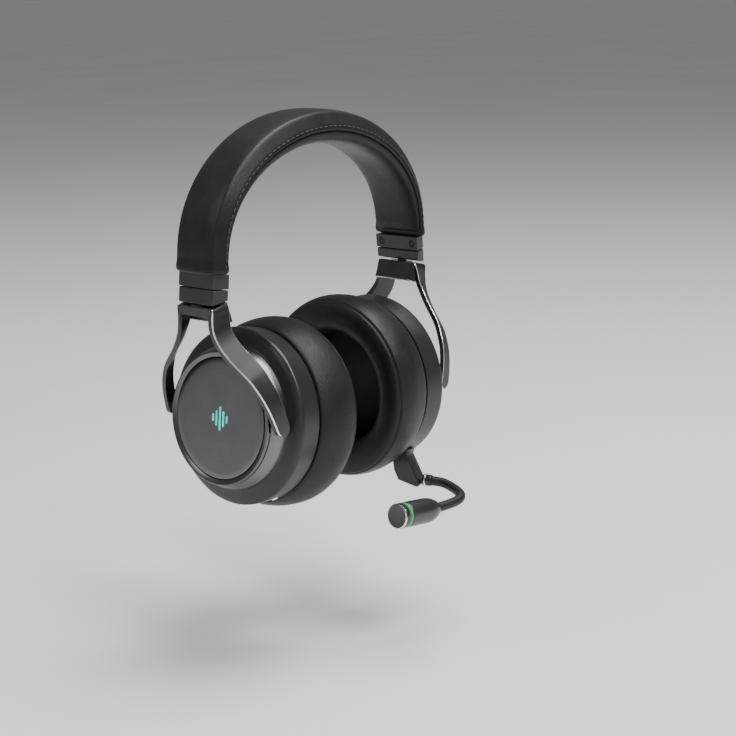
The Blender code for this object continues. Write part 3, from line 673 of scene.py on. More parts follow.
@dataclass
class Headband:
    """The wrapped arch, its cushion and its stitching.

    The lip and the swell at the ends are (height, distance from the end, width) of bell curves.
    """

    palette: Palette
    centre_z: float = -50.0
    skin: tuple[float, float] = (81.5, 66.5)
    seam: tuple[float, float] = (74.0, 56.2)
    skin_half: float = 13.0
    seam_half: float = 16.6
    thickness: float = 8.6
    splay: float = 5.0
    end_angle: float = 100.0
    past_rate: float = 0.71
    end_rounding: float = 1.5
    end_draw: float = 0.10
    end_lip: Triple = (0.035, 2.6, 2.4)
    end_swell: Triple = (0.16, 14.0, 16.0)
    fine_swell: float = 0.08
    flat_half: float = 12.0
    cushion_span: float = 96.5
    cushion_half: float = 15.6
    cushion_depth: tuple[float, float] = (6.2, 1.6)
    stitch_length: float = 2.5
    stitch_gap: float = 1.1
    stitch_radius: float = 0.24
    rows: int = 300

    def place(
        self, angle: Array, y: Array | float, inward: Array | float,
        extra: Array | float = 0.0,
    ) -> Array:
        """Points of the arch.

        Seen from the front it is an ellipse between the outer skin (inward 0) and the seam
        (inward 1) up to a quarter turn either way, and straight along its splay past that.

        Args:
            angle: Degrees from the crown.
            y: The distance from the arch's middle plane.
            inward: 0 on the skin, 1 on the seam.
            extra: Millimetres beyond that towards the head.

        Returns:
            The places on a last axis of 3.
        """
        turn = np.radians(np.clip(angle, -90.0, 90.0))
        width = self.skin[0] + (self.seam[0] - self.skin[0]) * inward - extra
        rise = self.skin[1] + (self.seam[1] - self.skin[1]) * inward - extra
        past = np.maximum(0.0, np.abs(angle) - 90.0) * self.past_rate
        splay = math.radians(self.splay)
        x = width * np.sin(turn) + np.sign(angle) * past * math.sin(splay)
        z = self.centre_z + rise * np.cos(turn) - past * math.cos(splay)
        return np.stack(np.broadcast_arrays(x, y, z), -1)

    def cover_section(self) -> Array:
        """The cover's outline as (y, inward): a soft trapezoid with a sewn groove each side."""
        top, low, thick = self.skin_half, self.seam_half, self.thickness
        right = [
            (0.0, -0.55), (top * 0.6, -0.4), (top - 0.6, 0.25), (top + 0.35, 1.2), (low + 0.1, 6.6),
            (low - 0.45, 7.15), (low + 0.1, 7.7), (low - 0.9, thick), (0.0, thick),
        ]
        right = resample(fillet(right, 1.7, steps=6), 70)
        return np.concatenate([right, right[::-1][1:-1] * [-1.0, 1.0]]) / [1.0, thick]

    def build_cover(self) -> None:
        """Sweeps the section along the arch, drawn in at both ends to a soft lip.

        The size of each section is 1, plus a bell curve near the end, less a quarter circle over
        the last of it. Soft swells, strongest near the ends, move the skin.
        """
        angle = np.linspace(-self.end_angle, self.end_angle, self.rows)[:, None]
        y, inward = self.cover_section().T[:, None]
        to_end = (self.end_angle - np.abs(angle)) * self.past_rate
        rounding = np.sqrt(1.0 - np.clip(1.0 - to_end / self.end_rounding, 0.0, 1.0) ** 2)
        lip, swell = (row[0] * bell(to_end, *row[1:]) for row in (self.end_lip, self.end_swell))
        size = 1.0 + lip - self.end_draw * (1.0 - rounding)
        turn = circle(y.size)[None]
        soft = swell * ripple(turn, angle / 11.0, 5)
        soft = soft + self.fine_swell * ripple(turn, angle / 6.0, 8)
        inward = 0.5 + (inward - 0.5) * size - 0.012 * soft
        y = y * size
        y = y + soft * np.sign(y) * (np.abs(y) > self.flat_half)
        cover = grid_object("headband_wrap", self.place(angle, y, inward), caps=True, sharp=50.0)
        leather = [self.palette.leather]
        place_piece(cover, leather, "headband", "black_leatherette", "headband_cover")

    def build_cushion(self) -> None:
        """A crowned pad under the arch.

        Its depth is a superellipse of the distance across, times a curve along the arch that is
        deepest at the crown and rounds off at the ends. Shallow creases run across it.
        """
        along = np.linspace(-1.0, 1.0, 220)[:, None]
        turn = circle(96)[None]
        angle = along * self.cushion_span
        fullness = np.maximum(0.0, 1.0 - np.abs(along) ** 14) ** 0.5
        crown = np.maximum(0.0, np.cos(along * math.pi / 2)) ** 0.8
        middle, end = self.cushion_depth
        depth = (end + (middle - end) * crown) * fullness
        across = np.sign(np.cos(turn)) * np.abs(np.cos(turn)) ** 0.62
        y = self.cushion_half * across * (0.93 + 0.07 * fullness)
        under = np.maximum(0.0, np.sin(turn)) ** 0.75
        crease = 0.10 * ripple(turn, angle / 3.2, 21, low=1.0, high=3.0)
        crease = crease + 0.12 * ripple(turn, angle / 9.0, 22, low=1.0, high=2.0)
        extra = 0.3 + under * (depth + crease * fullness) + 0.25 * np.minimum(0.0, np.sin(turn))
        points = self.place(angle, y, 1.0, extra)
        pad = grid_object("headband_pad", points, caps=True, sharp=70.0)
        leather = [self.palette.pad_leather]
        place_piece(pad, leather, "headband", "head_cushion", "headband_cushion")

    def build_stitches(self, label: str, side: float) -> None:
        """Short threads along one edge: capsules whose centres follow the seam in dashes.

        Args:
            label: The edge's name.
            side: The edge's sign along Y.
        """
        angles = np.linspace(3.0 - self.end_angle, self.end_angle - 3.0, 3000)
        line = self.place(angles, side * (self.seam_half + 0.12), 0.735)
        last = distances(line)[-1] - self.stitch_length
        starts = np.arange(0.0, last, self.stitch_length + self.stitch_gap)
        share = np.array([0.0, 0.06, 0.2, 0.5, 0.8, 0.94, 1.0])
        dip = np.array([0.1, 0.65, 1.0, 1.0, 1.0, 0.65, 0.1])
        centres = read_at(line, starts[:, None] + share * self.stitch_length)
        centres[..., 1] += side * (dip - 1.0) * self.stitch_radius
        along = unit(centres[:, -1] - centres[:, 0])
        out = np.broadcast_to([0.0, side, 0.0], along.shape)
        third = np.cross(along, out)
        turn = circle(8)[:, None]
        ring = out[:, None, None] * np.cos(turn) + third[:, None, None] * np.sin(turn)
        points = centres[:, :, None] + ring * (self.stitch_radius * dip)[None, :, None, None]
        index = np.arange(points[..., 0].size).reshape(points.shape[:3])
        ahead = np.roll(index, -1, 2)
        quads = np.stack([index[:, :-1], ahead[:, :-1], ahead[:, 1:], index[:, 1:]], -1)
        caps = index[:, 0, ::-1].tolist() + index[:, -1].tolist()
        name = f"seam_stitches_{label}"
        mesh = bpy.data.meshes.new(name)
        places = (points.reshape(-1, 3) * MM).tolist()
        mesh.from_pydata(places, [], quads.reshape(-1, 4).tolist() + caps)
        thread = [self.palette.thread]
        place_piece(weld(name, mesh, 60.0), thread, "headband", "black_leatherette")

    def build(self) -> None:
        """Builds all of the headband, with its end caps and slider blocks softened."""
        self.build_cover()
        self.build_cushion()
        self.build_stitches("front", -1.0)
        self.build_stitches("rear", 1.0)
        for side in Side:
            for part, body in (("end_cap", "headband"), ("slider_block", f"slider_{side.label}")):
                node = f"{part}_{side.label}"
                plastic = [self.palette.slider]
                place_piece(softened_copy(node, 0.7), plastic, body, "shell_plastic", node)


# Forks


@dataclass
class Yoke:
    """The fork that carries one cup, with polished edges on its outer surface.

    The arm's stations are (y, up, bow, half depth, slant): its line, how far it bows away from
    the head, half its depth, and how far its face slants over that half.
    """

    side: Side
    palette: Palette
    lean: float = 12.6
    top: float = 62.7
    bridge_height: float = 4.8
    shoulder_height: float = 10.2
    wall: float = 2.9
    edge: float = 0.46
    rows: int = 241
    tip_from: float = 0.4
    tip_length: float = 3.9
    polish_from: float = 11.9
    pin_radius: float = 2.4
    arm: list[tuple[float, float, float, float, float]] = field(default_factory=lambda: [
        (0.0, 62.7, 0.6, 5.2, 0.0), (10.6, 62.7, 0.6, 5.2, 0.0), (12.9, 61.4, 0.9, 5.2, 0.5),
        (13.5, 57.4, 2.0, 5.1, 1.3), (14.2, 52.2, 3.4, 4.8, 1.6), (15.8, 48.2, 4.1, 4.6, 1.9),
        (18.4, 44.1, 4.3, 4.6, 2.0), (21.8, 39.9, 4.1, 4.6, 2.1), (25.8, 35.7, 3.7, 4.6, 2.1),
        (29.8, 31.4, 3.2, 4.6, 2.0), (33.0, 27.0, 2.7, 4.5, 1.7), (37.1, 18.9, 2.0, 4.3, 1.4),
        (39.5, 10.6, 1.3, 4.1, 1.1), (40.6, 2.2, 0.6, 3.9, 0.7), (40.6, -3.5, 0.2, 3.8, 0.4),
    ])

    @property
    def body(self) -> str:
        """The fork's body."""
        return f"fork_{self.side.label}"

    def to_world(self, points: Array) -> Array:
        """Turns (away from the head, y, up) from the pivot, with the fork's lean, into places."""
        out, pivot_z = CUP_PIVOT
        sign = self.side.value
        return leaned(points, self.lean) * [sign, 1.0, 1.0] + [sign * out, 0.0, pivot_z]

    def build_fork(self) -> None:
        """Sweeps a flat bar along the fork's outer line.

        The bar's middle, bow, half depth and slant are curves through the arm's stations. Its half
        depth follows a half circle at each tip. The two outer edges carry a bevel weight.
        """
        arm = np.array(self.arm)
        path = spline(np.concatenate([arm[::-1][:-1] * [-1, 1, 1, 1, 1], arm]), self.rows)
        line, bow, slant = path[:, :2], path[:, 2], path[:, 4]
        tangent = unit(np.gradient(line, axis=0))
        normal = np.stack([tangent[:, 1], -tangent[:, 0]], 1)
        to_tip = np.clip((self.tip_from - line[:, 1]) / self.tip_length, 0.0, 0.992)
        half = path[:, 3] * np.sqrt(1.0 - to_tip**2)
        corners = []
        for across, deep in ((1, 0.0), (1, self.wall), (-1, self.wall), (-1, 0.0)):
            flat = line + normal * (across * slant + deep)[:, None]
            corners.append(np.column_stack([bow + across * half, flat]))
        points = self.to_world(np.stack(corners, 1))
        name = f"yoke_{self.side.label}"
        fork = grid_object(f"{name}_finished", points, caps=True, sharp=30.0)
        self.weigh_edges(fork.data, points * MM)
        bevel = fork.modifiers.new("polished", "BEVEL")
        bevel.limit_method = "WEIGHT"
        bevel.width = self.edge * MM
        bevel.segments = 2
        bevel.material = 1
        bevel.use_clamp_overlap = False
        metals = [self.palette.yoke, self.palette.polished]
        place_piece(fork, metals, self.body, "gunmetal", name)

    def weigh_edges(self, mesh: bpy.types.Mesh, points: Array) -> None:
        """Gives the bar's two outer edges a bevel weight, and the edge round each tip.

        Those are the edges whose ends both lie on the first column, on the last column, or on the
        outer corners of the first or the last ring.

        Args:
            mesh: The bar's mesh.
            points: Its grid in metres.
        """
        where = np.zeros(len(mesh.vertices) * 3)
        mesh.vertices.foreach_get("co", where)
        where = where.reshape(-1, 1, 3)
        shown = np.abs(points[:, 0, 1]) > self.polish_from * MM
        ends = np.zeros(len(mesh.edges) * 2, np.int32)
        mesh.edges.foreach_get("vertices", ends)
        weight = np.zeros(len(mesh.edges), np.float32)
        for line in (points[shown, 0], points[shown, 3], points[[0, 0, -1, -1], [0, 3, 0, 3]]):
            on_line = np.min(np.linalg.norm(where - line[None], axis=2), axis=1) < 1e-6
            weight[on_line[ends].reshape(-1, 2).all(axis=1)] = 1.0
        layer = mesh.attributes.new("bevel_weight_edge", "FLOAT", "EDGE")
        layer.data.foreach_set("value", weight)

    def build_block(
        self, name: str, outline: list[Triple], rounding: float, metal: Material
    ) -> None:
        """Builds a block that is as wide either side of the fork's middle.

        Args:
            name: The piece's name, before its side.
            outline: Its corners as (away from the head, up, half width).
            rounding: Its edges' rounding.
            metal: Its material.
        """
        ring = np.array(outline)[:, [0, 2, 1]]
        points = self.to_world(np.stack([ring * [1.0, -1.0, 1.0], ring]))
        block = grid_object(f"{name}_{self.side.label}", points, caps=True, sharp=30.0)
        round_edges(block, rounding)
        place_piece(block, [metal], self.body, "gunmetal")

    def build_bridge(self) -> None:
        """The block under the slider, its taller and wider inner side, and a polished strip."""
        top = self.top
        low, deep = top - self.bridge_height, top - self.shoulder_height
        face, inner_face = top - 0.1, top - 0.05
        outer = [(6.0, face, 11.3), (6.73, low, 11.3), (-0.4, low, 11.3), (-0.4, face, 11.3)]
        inner = [
            (0.2, inner_face, 12.4), (0.2, low, 12.4), (-0.6, deep, 13.7), (-4.75, deep, 13.9),
            (-4.75, top - 5.0, 13.3), (-4.75, inner_face, 12.7),
        ]
        strip = [(-0.9, 0.3), (-0.9, -0.35), (-4.4, -0.35), (-4.9, 0.1), (-4.9, 0.3)]
        strip = [(out, deep + up, 12.6) for out, up in strip]
        self.build_block("yoke_bridge", outer, 0.3, self.palette.yoke)
        self.build_block("yoke_shoulder", inner, 0.35, self.palette.yoke)
        self.build_block("bridge_strip", strip, 0.12, self.palette.polished)

    def build_pin(self) -> None:
        """The swivel pin: a stepped line spun about the upright axis, its foot in the bridge."""
        line = [
            (58.3, 0.0), (58.3, 2.9), (59.8, 2.9), (60.0, self.pin_radius),
            (66.6, self.pin_radius), (66.9, self.pin_radius - 0.3), (66.9, 0.0),
        ]
        points = self.to_world(spin(fillet(line, 0.2, steps=2), 40)[..., ::-1])
        name = f"fork_pin_{self.side.label}"
        pin = grid_object(name, points, close_rows=True, close_columns=False)
        node = f"swivel_pin_{self.side.label}"
        place_piece(pin, [self.palette.yoke], self.body, "steel", node)

    def build(self) -> None:
        """Builds the fork, its bridge and its pin."""
        self.build_fork()
        self.build_bridge()
        self.build_pin()


# Ear cups


@dataclass
class Cup:
    """One ear cup: shells, plate, emblem windows, driver cloth and cushion.

    Profiles are (station, radius) lines: the distance from the headset's middle plane, and the
    distance from the cup's axis.
    """

    side: Side
    palette: Palette
    plate_face: float = 68.2
    plate_back: float = 66.5
    plate_radius: float = 30.8
    emblem_bars: tuple[float, ...] = (4.0, 8.0, 12.5, 8.0, 4.0)
    emblem_pitch: float = 2.4
    emblem_width: float = 1.7
    cloth_station: float = 41.8
    cloth_radius: float = 30.3
    flank: float = 45.2
    pucker: float = 0.15
    pucker_reach: float = 3.4
    root_reach: float = 2.6
    swell: float = 0.2
    status_place: tuple[float, float] = (46.2, -26.0)

    def add(self, obj: Piece, slot: str, node: str, *materials: Material) -> None:
        """Places a piece on the cup, for the CAD node of this side."""
        body = f"cup_{self.side.label}"
        place_piece(obj, list(materials), body, slot, f"{node}_{self.side.label}")

    def to_world(self, points: Array) -> Array:
        """Turns (station, y, z from the pivot) with the cup's lean into places."""
        out, pivot_z = CUP_PIVOT
        sign = self.side.value
        local = (points - [out, 0.0, 0.0]) * [sign, 1.0, 1.0]
        return leaned(local, self.side.cup_lean) + [sign * out, 0.0, pivot_z]

    def lathe(self, name: str, profile: Array, steps: int = 192, **looks: object) -> Piece:
        """A turned piece from a profile, with grid_object's own settings."""
        points = self.to_world(spin(profile, steps))
        return grid_object(f"{name}_{self.side.label}", points, close_rows=True, **looks)

    def flank_box(self, size: Triple, station: float, angle: float, out: float) -> Piece:
        """A box with rounded corners on the flank.

        Args:
            size: Depth, length round the flank and width along the axis.
            station: Its distance from the headset's middle plane.
            angle: Degrees from straight down, positive to the rear.
            out: Its top's distance above the flank.

        Returns:
            The box.
        """
        deep, length, width = size
        corners = [(y * length / 2, x * width / 2) for y, x in ((-1, -1), (1, -1), (1, 1), (-1, 1))]
        outline = fillet(corners, min(length, width) * 0.3, closed=True, steps=4)
        turn = math.radians(angle)
        away = np.array([0.0, math.sin(turn), -math.cos(turn)])
        along = np.array([0.0, math.cos(turn), math.sin(turn)])
        flat = outline[:, :1] * along + outline[:, 1:] * [1.0, 0.0, 0.0]
        heights = np.array([out - deep, out])[:, None, None]
        rings = [station, 0.0, 0.0] + away * (self.flank + heights) + flat
        return grid_object("flank_box", self.to_world(rings), caps=True)

    def cutters(self) -> list[Piece]:
        """The holes for this side's controls or ports."""
        wheel = ((6.0, 13.0, 4.8), 49.0, 52.0, 2.0)
        switch = ((8.0, 10.2, 3.4), 49.0, 28.9, 4.0)
        button = ((10.0, 5.5, 5.5), 49.0, 8.0, 5.0)
        light = ((8.0, 4.0, 1.6), *self.status_place, 3.0)
        usb = ((12.0, 9.6, 3.8), 48.7, 10.0, 4.0)
        jack = ((16.0, 6.8, 6.8), 48.7, 28.0, 4.0)
        plug = ((12.0, 9.8, 4.6), 48.7, -33.0, 4.0)
        holes = (wheel, switch, button, light) if self.side is Side.RIGHT else (usb, jack, plug)
        return [self.flank_box(*hole) for hole in holes]

    def build_housing(self) -> None:
        """The main shell: metal neck, shoulder, ridge and flank, with holes for what it carries."""
        neck = fillet([
            (66.2, 33.3), (65.4, 34.2), (63.6, 35.9), (61.4, 37.0), (59.6, 37.35), (58.7, 37.5),
        ], 1.2, steps=4)
        shoulder = fillet([
            (58.7, 37.5), (58.2, 38.3), (57.6, 40.6), (56.7, 43.8), (55.3, 45.7), (49.0, 45.4),
            (43.2, 45.0),
        ], 1.5, steps=6)[1:]
        inner = fillet([
            (43.2, 45.0), (43.2, 42.7), (54.4, 43.2), (56.2, 37.6), (58.6, 35.3), (64.3, 31.6),
            (64.3, 9.6), (66.2, 9.6), (66.2, 33.3),
        ], 0.25, steps=1)[1:-1]
        profile = np.concatenate([neck, shoulder, inner])
        bands = np.arange(len(profile)) < len(neck) - 1
        shell = self.lathe("housing", profile, bands=bands, sharp=28.0)
        carve(shell, self.cutters(), 28.0)
        satin, neck_metal = self.palette.satin, self.palette.neck
        self.add(shell, "shell_plastic", "cup_housing", satin, neck_metal)

    def build_plate(self) -> None:
        """The bezel's bevelled band and the spun plate, pierced for the emblem's bars."""
        label = self.side.label
        metal = Spun(f"spun_plate_{label}", self.side, (0.16, 0.16, 0.162), 0.3).build()
        band = Spun(
            f"spun_band_{label}", self.side, (0.14, 0.14, 0.142), 0.27, ring=0.3, scatter=0.18
        ).build()
        bezel_line = fillet([
            (66.5, 34.3), (68.2, 34.3), (68.9, 33.9), (68.9, 33.3), (68.0, 31.2), (67.4, 31.1),
            (66.5, 31.1),
        ], 0.3, closed=True, steps=3)
        bezel = self.lathe("bezel", bezel_line, sharp=24.0)
        self.add(bezel, "brushed_plate", "plate_bezel", band)
        face, back, radius = self.plate_face, self.plate_back, self.plate_radius
        line = np.concatenate([
            np.stack([np.full(12, face), np.linspace(0.0, radius - 0.4, 12)], 1),
            [(face - 0.12, radius - 0.1), (face - 0.4, radius), (back, radius), (back, 0.0)],
        ])
        disc = self.lathe("spun_plate", line, close_columns=False, sharp=24.0)
        windows = [self.emblem_window(i, height) for i, height in enumerate(self.emblem_bars)]
        carve(disc, windows, 24.0)
        self.add(disc, "brushed_plate", "outer_plate", metal)

    def emblem_window(self, number: int, height: float) -> Piece:
        """One upright slot with round ends through the plate."""
        half, radius = height / 2 + 0.2, self.emblem_width / 2
        turn = circle(24)
        middle = (number - (len(self.emblem_bars) - 1) / 2) * self.emblem_pitch
        y = middle + radius * np.sin(turn)
        z = np.cos(turn) * radius + np.sign(np.cos(turn)) * (half - radius)
        stations = (self.plate_back - 1.0, self.plate_face + 1.0)
        rings = np.array([np.stack([np.full(24, x), y, z], 1) for x in stations])
        return grid_object("window", self.to_world(rings), caps=True)

    def build_cushion(self) -> None:
        """The ear cushion.

        A closed profile of the side band, a sewn seam, a crowned face and the ear opening is spun
        about the cup's axis. Puckers gather at the seam, and broad soft swells run round it, both
        moving the skin along the profile's own normal.
        """
        band = spline([
            (41.7, 44.5), (41.3, 45.6), (39.6, 46.7), (36.0, 48.1), (31.0, 49.2), (26.6, 49.5),
            (22.8, 49.2), (20.0, 48.5), (18.9, 48.05),
        ], 52)
        seam = np.array([(18.7, 47.75), (18.5, 46.95), (18.3, 46.75), (18.05, 46.8)])
        face = spline([
            (17.8, 47.25), (17.2, 47.2), (16.2, 46.1), (15.4, 43.4), (15.2, 40.4), (15.6, 36.8),
            (17.0, 33.8), (19.6, 31.7), (23.6, 30.6), (30.0, 30.4), (37.0, 30.9), (41.7, 31.4),
        ], 84)
        back = np.stack([np.full(6, 41.7), np.linspace(33.0, 43.2, 6)], 1)
        profile = np.concatenate([band, seam, face, back])
        ahead = unit(np.roll(profile, -1, 0) - np.roll(profile, 1, 0))
        normal = np.stack([ahead[:, 1], -ahead[:, 0]], 1)
        station, run = profile[:, 0], distances(profile)
        turn, sign = circle(360)[:, None], self.side.value
        pucker = ripple(turn, run / 5.0, 31 + sign, waves=9, low=26.0, high=58.0)
        swell = ripple(turn, run / 14.0, 41 + sign, waves=8, low=3.0, high=11.0)
        gather = bell(run, run[len(band) + 1], self.pucker_reach)
        gather = gather + 0.6 * bell(station, 41.5, self.root_reach)
        free = 1.0 - np.clip((station - 39.5) / 2.0, 0.0, 1.0)
        move = (self.pucker * pucker * gather + self.swell * swell) * free
        pad = self.lathe("ear_pad", profile + normal * move[..., None], len(turn), sharp=70.0)
        self.add(pad, "black_leatherette", "ear_cushion", self.palette.pad_leather)

    def build_cloth(self) -> None:
        """The cloth over the driver: a shallow dome of one less the radius squared."""
        station, radius = self.cloth_station, self.cloth_radius
        line = np.linspace(0.0, radius, 40)
        dome = np.stack([station - 0.5 * (1.0 - (line / radius) ** 2), line], 1)
        profile = np.concatenate([dome, [(station + 0.2, radius), (station + 0.2, 0.0)]])
        cloth = self.lathe("driver_knit", profile, 96, close_columns=False, sharp=50.0)
        self.add(cloth, "driver_cloth", "driver_cloth", self.palette.cloth)

    def build_lens(self) -> None:
        """The status light's lens, a little proud of the flank."""
        lens = self.flank_box((1.5, 3.4, 1.1), *self.status_place, 0.35)
        lens.name = "status_lens"
        round_edges(lens, 0.2)
        body = f"cup_{self.side.label}"
        place_piece(lens, [self.palette.white], body, "status_light", "status_light")

    def build(self) -> None:
        """Builds all of the cup."""
        self.build_housing()
        if self.side is Side.RIGHT:
            self.build_lens()
        self.build_plate()
        self.build_cushion()
        self.build_cloth()


@dataclass
class Controls:
    """The small parts that a hand meets: wheel, switch and button."""

    palette: Palette
    wheel_ribs: int = 30

    def build(self) -> None:
        """Builds the volume wheel, and softens the switch and the button.

        The wheel is a turned rim whose radius dips between ribs, a raised cosine of the angle.
        """
        low, high = (np.array(corner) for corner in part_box("volume_wheel"))
        across = np.array([-2.0, -2.0, -1.6, 1.6, 2.0, 2.0])
        radius = np.array([0.0, 6.3, 6.9, 6.9, 6.3, 0.0])
        turn = circle(self.wheel_ribs * 8)[:, None]
        dip = 0.35 * (0.5 - 0.5 * np.cos(self.wheel_ribs * turn)) ** 2 * (radius > 0)
        profile = np.stack(np.broadcast_arrays(across, radius - dip), -1)
        points = leaned(spin(profile, len(turn)), Side.RIGHT.cup_lean) + (low + high) / 2 / MM
        closing = {"close_rows": True, "close_columns": False}
        wheel = grid_object("ribbed_wheel", points, **closing, sharp=40.0)
        rubber = [self.palette.rubber]
        place_piece(wheel, rubber, "volume_wheel", "shell_plastic", "volume_wheel")
        for node in ("power_switch", "pairing_button"):
            plastic = [self.palette.satin]
            place_piece(softened_copy(node, 0.25), plastic, node, "shell_plastic", node)


# Microphone


@dataclass
class Microphone:
    """The plug-in base, gooseneck, capsule, light ring and mute button.

    Places are given from the height of the cups' pivot.
    """

    palette: Palette
    collar: Triple = (46.8, -39.0, -51.3)
    collar_turn: float = 17.5
    boom_start: float = 4.9
    boom_radius: float = 2.6
    rib_depth: float = 0.05
    rib_pitch: float = 1.6
    collar_band: tuple[float, float] = (0.85, 1.65)
    rim_reach: float = 0.62
    route: tuple[Triple, ...] = (
        (50.3, -50.1, -52.0), (49.0, -58.1, -53.4), (44.7, -65.5, -54.2), (39.5, -68.7, -54.9),
        (32.5, -69.1, -55.4), (21.4, -68.0, -55.6),
    )
    neck: Triple = (21.0, -68.0, -55.6)
    rise: float = 6.1
    radius: float = 6.6
    length: float = 32.6
    travel: float = 0.8

    def lifted(self, point: Triple) -> Array:
        """A place given from the pivot's height, as a row place."""
        return np.array(point) + [0.0, 0.0, CUP_PIVOT[1]]

    def turned(
        self, name: str, line: Array, origin: Array, axis: Array,
        sharp: float = 30.0, bands: Array | None = None,
    ) -> Piece:
        """Spins a line about an axis.

        Args:
            name: The piece's name.
            line: (distance along, radius) points.
            origin: Where the axis starts.
            axis: Its direction.
            sharp: Edges turned by more than this angle stay sharp.
            bands: The material index of each step of the line.

        Returns:
            The piece.
        """
        level = unit(np.cross([0.0, 0.0, 1.0], axis))
        turn = circle(96)[:, None, None]
        ring = level * np.cos(turn) + np.cross(axis, level) * np.sin(turn)
        points = origin + axis * line[None, :, :1] + ring * line[None, :, 1:]
        closing = {"close_rows": True, "close_columns": False}
        return grid_object(name, points, **closing, bands=bands, sharp=sharp)

    def build_boom(self) -> None:
        """A flexible tube with fine rings, a ball at its root, and the collar that holds it.

        The tube's radius dips by a raised cosine of the distance, and follows a half circle over
        the ball.
        """
        turn = math.radians(self.collar_turn - 90.0)
        axis = np.array([math.cos(turn), math.sin(turn), 0.0])
        start = self.lifted(self.collar) + axis * self.boom_start
        line = spline([start, *map(self.lifted, self.route)], 260)
        ball_turn = np.radians(np.linspace(8.0, 84.0, 9))
        ball = start - axis * self.boom_radius * np.cos(ball_turn)[:, None]
        run = distances(line)
        wave = 0.5 + 0.5 * np.cos(math.tau * run / self.rib_pitch)
        ribs = self.rib_depth * wave * np.clip(run / 4.0, 0.0, 1.0)
        radius = [self.boom_radius * np.sin(ball_turn), self.boom_radius - ribs]
        points = tube_points(np.concatenate([ball, line]), np.concatenate(radius), 40)
        boom = grid_object("gooseneck", points, caps=True, sharp=60.0)
        place_piece(boom, [self.palette.rubber], "boom", "black_rubber", "microphone_boom")
        end = self.boom_start - 0.3
        collar_line = fillet([
            (0.0, 0.0), (0.0, 3.3), (0.8, 3.3), (0.9, 3.7), (1.2, 3.8), (1.5, 3.7), (1.6, 3.15),
            (end - 0.3, 3.05), (end, 2.85), (end, 2.72), (2.1, 2.72), (2.1, 0.0),
        ], 0.15, steps=3)
        middle = (collar_line[1:, 0] + collar_line[:-1, 0]) / 2
        low, high = self.collar_band
        ring = (middle > low) & (middle < high)
        origin = self.lifted(self.collar)
        collar = self.turned("polished_collar", collar_line, origin, axis, bands=ring)
        finishes = [self.palette.satin, self.palette.polished]
        place_piece(collar, finishes, "boom_collar", "polished_trim", "boom_collar")

    def build_capsule(self) -> None:
        """The capsule's shell, its lit ring and the button that is its front end."""
        palette = self.palette
        rise = math.radians(self.rise)
        axis = np.array([-math.cos(rise), 0.0, math.sin(rise)])
        origin = self.lifted(self.neck)
        r, length = self.radius, self.length
        line = fillet([
            (0.0, 0.0), (0.0, 3.1), (0.9, 3.9), (3.2, 5.1), (6.6, 6.2), (9.6, r), (length - 6.2, r),
            (length - 6.2, r - 0.9), (9.0, r - 0.9), (9.0, 0.0),
        ], 1.0, steps=4)
        shell = self.turned("capsule_shell", line, origin, axis, 24.0)
        place_piece(shell, [palette.capsule], "boom", "capsule_satin", "capsule_body")
        back, front, inside, skin = length - 5.9, length - 4.6, r - 1.4, r - 0.1
        corners = [(back, inside), (back, skin), (front, skin), (front, inside), (back, inside)]
        ring = self.turned("lit_ring", fillet(corners, 0.2), origin, axis)
        place_piece(ring, [palette.green], "boom", "mute_light", "mute_light_ring")
        rim, face = front + self.travel + 0.3, length - 0.15
        line = fillet([
            (21.0, 0.0), (21.0, 3.4), (rim, 3.4), (rim, r - 0.2), (rim + 0.25, r),
            (length - 0.5, r), (length, r - 0.5), (length, r - 0.8), (face, r - 1.0), (face, 0.0),
        ], 0.12, steps=2)
        reach = self.rim_reach
        edge = (line[:-1, 0] > length - reach) & (line[:-1, 1] > r - reach)
        button = self.turned("mute_cap", line, origin, axis, 20.0, edge)
        finishes = [palette.capsule, palette.polished]
        place_piece(button, finishes, "mute_button", "capsule_satin", "mute_button")

    def build(self) -> None:
        """Builds the whole microphone, its plug-in block from the CAD shape with rounder edges."""
        base = softened_copy("microphone_base", 0.35, 2)
        plastic = [self.palette.satin]
        place_piece(base, plastic, "microphone_mount", "shell_plastic", "microphone_base")
        self.build_boom()
        self.build_capsule()


# Parts kept from the CAD, and the studio


def dress_kept_parts(p: Palette) -> None:
    """Gives each CAD node that stays as it is its finish, by the start of its name."""
    finishes = {
        p.steel: ("spring_band", "pivot_pin", "driver_left", "driver_right", "usb_port",
                  "audio_jack", "microphone_socket", "microphone_plug"),
        p.strip: ("slider_strip",),
        p.screw: ("end_cap_screw",),
        p.rubber: ("link_cable",),
        p.inner: ("swivel_washer", "driver_baffle", "cushion_ring"),
        p.teal: ("emblem",),
        p.wrap: ("battery",),
        p.board: ("control_board", "main_board"),
    }
    for name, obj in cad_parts.items():
        for material, starts in finishes.items():
            if name.startswith(starts):
                obj.data.materials.clear()
                obj.data.materials.append(material)


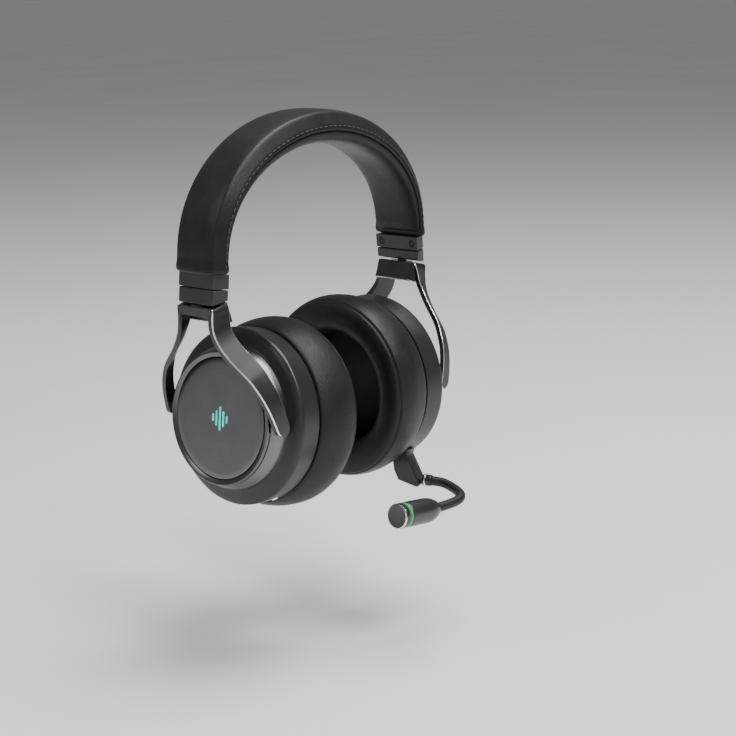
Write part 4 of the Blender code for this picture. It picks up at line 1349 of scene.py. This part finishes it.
@dataclass
class Studio:
    """Camera, soft lights and a pale floor.

    A light is its name, its place in metres, its size in metres and its power in watts.
    """

    azimuth: float = -49.42
    elevation: float = 11.65
    roll: float = -1.38
    distance: float = 957.3
    across: float = 30.4
    above: float = 14.25
    target_z: float = -134.0
    lens: float = 88.04
    floor_z: float = -262.0
    floor_half: float = 40000.0
    sky: tuple[float, float, float, float] = (0.9, 0.92, 0.95, 1.0)
    sky_strength: float = 0.24
    lights: tuple[tuple[str, Triple, float, float], ...] = (
        ("top_softbox", (0.35, -0.2, 1.25), 0.9, 26.0),
        ("front_softbox", (-0.15, -0.95, 1.1), 0.45, 12.0),
        ("left_softbox", (-1.2, 0.5, 0.9), 0.5, 4.5),
        ("camera_softbox", (-1.2, -0.9, 0.2), 0.8, 1.6),
    )

    def build_camera(self) -> None:
        """A camera that looks along its azimuth and elevation, beside and above the cups."""
        a, e = math.radians(self.azimuth), math.radians(self.elevation)
        back = Vector((math.sin(a) * math.cos(e), -math.cos(a) * math.cos(e), math.sin(e)))
        right = Vector((math.cos(a), math.sin(a), 0.0))
        up = back.cross(right)
        place = back * self.distance + right * self.across + up * self.above
        turn = Matrix.Rotation(math.radians(-self.roll), 3, "Y")
        matrix = Matrix([turn @ axis for axis in (right, up, back)]).transposed().to_4x4()
        matrix.translation = (turn @ place + Vector((0.0, 0.0, self.target_z))) * MM
        data = bpy.data.cameras.new("camera")
        data.lens = self.lens
        data.clip_end = 20.0
        camera = bpy.data.objects.new("camera", data)
        camera.matrix_world = matrix
        bpy.context.collection.objects.link(camera)
        bpy.context.scene.camera = camera

    def add_light(self, name: str, place: Triple, size: float, power: float) -> None:
        """A square soft light at a place in metres, turned to the cups."""
        data = bpy.data.lights.new(name, "AREA")
        data.size = size
        data.energy = power
        light = bpy.data.objects.new(name, data)
        light.location = place
        aim = Vector((0.0, 0.0, self.target_z * MM)) - Vector(place)
        light.rotation_euler = aim.to_track_quat("-Z", "Y").to_euler()
        bpy.context.collection.objects.link(light)

    def build_floor(self) -> None:
        """A wide level floor of four by four patches."""
        step = np.linspace(-self.floor_half, self.floor_half, 5)
        points = np.stack([*np.meshgrid(step, step), np.full((5, 5), self.floor_z)], -1)
        floor = grid_object("studio_floor", points, close_columns=False, sharp=80.0)
        if floor.data.polygons[0].normal.z < 0:
            floor.data.flip_normals()
        shader = Shader("pale_floor", Roughness=0.7)
        pale = shader.spread(shader.noise(300.0))
        shader.feed("Base Color", shader.tint(pale, (0.86,) * 3, 1.0, 0.9 / 0.86))
        floor.data.materials.append(shader.material)
        floor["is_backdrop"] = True

    def build(self) -> None:
        """Sets up the camera, the floor, the sky and the lights."""
        self.build_camera()
        self.build_floor()
        world = bpy.data.worlds.new("studio")
        world.use_nodes = True
        background = world.node_tree.nodes["Background"].inputs
        background["Color"].default_value = self.sky
        background["Strength"].default_value = self.sky_strength
        bpy.context.scene.world = world
        for light in self.lights:
            self.add_light(*light)


def corners() -> list[list[float]]:
    """The shown object's box as plain numbers."""
    return [[float(value) for value in corner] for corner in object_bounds()]


def main() -> None:
    logging.basicConfig(level=logging.INFO)
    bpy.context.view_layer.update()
    palette = Palette()
    Studio().build()
    Headband(palette).build()
    for side in Side:
        Yoke(side, palette).build()
        Cup(side, palette).build()
    Controls(palette).build()
    Microphone(palette).build()
    dress_kept_parts(palette)


if __name__ == "__main__":
    main()
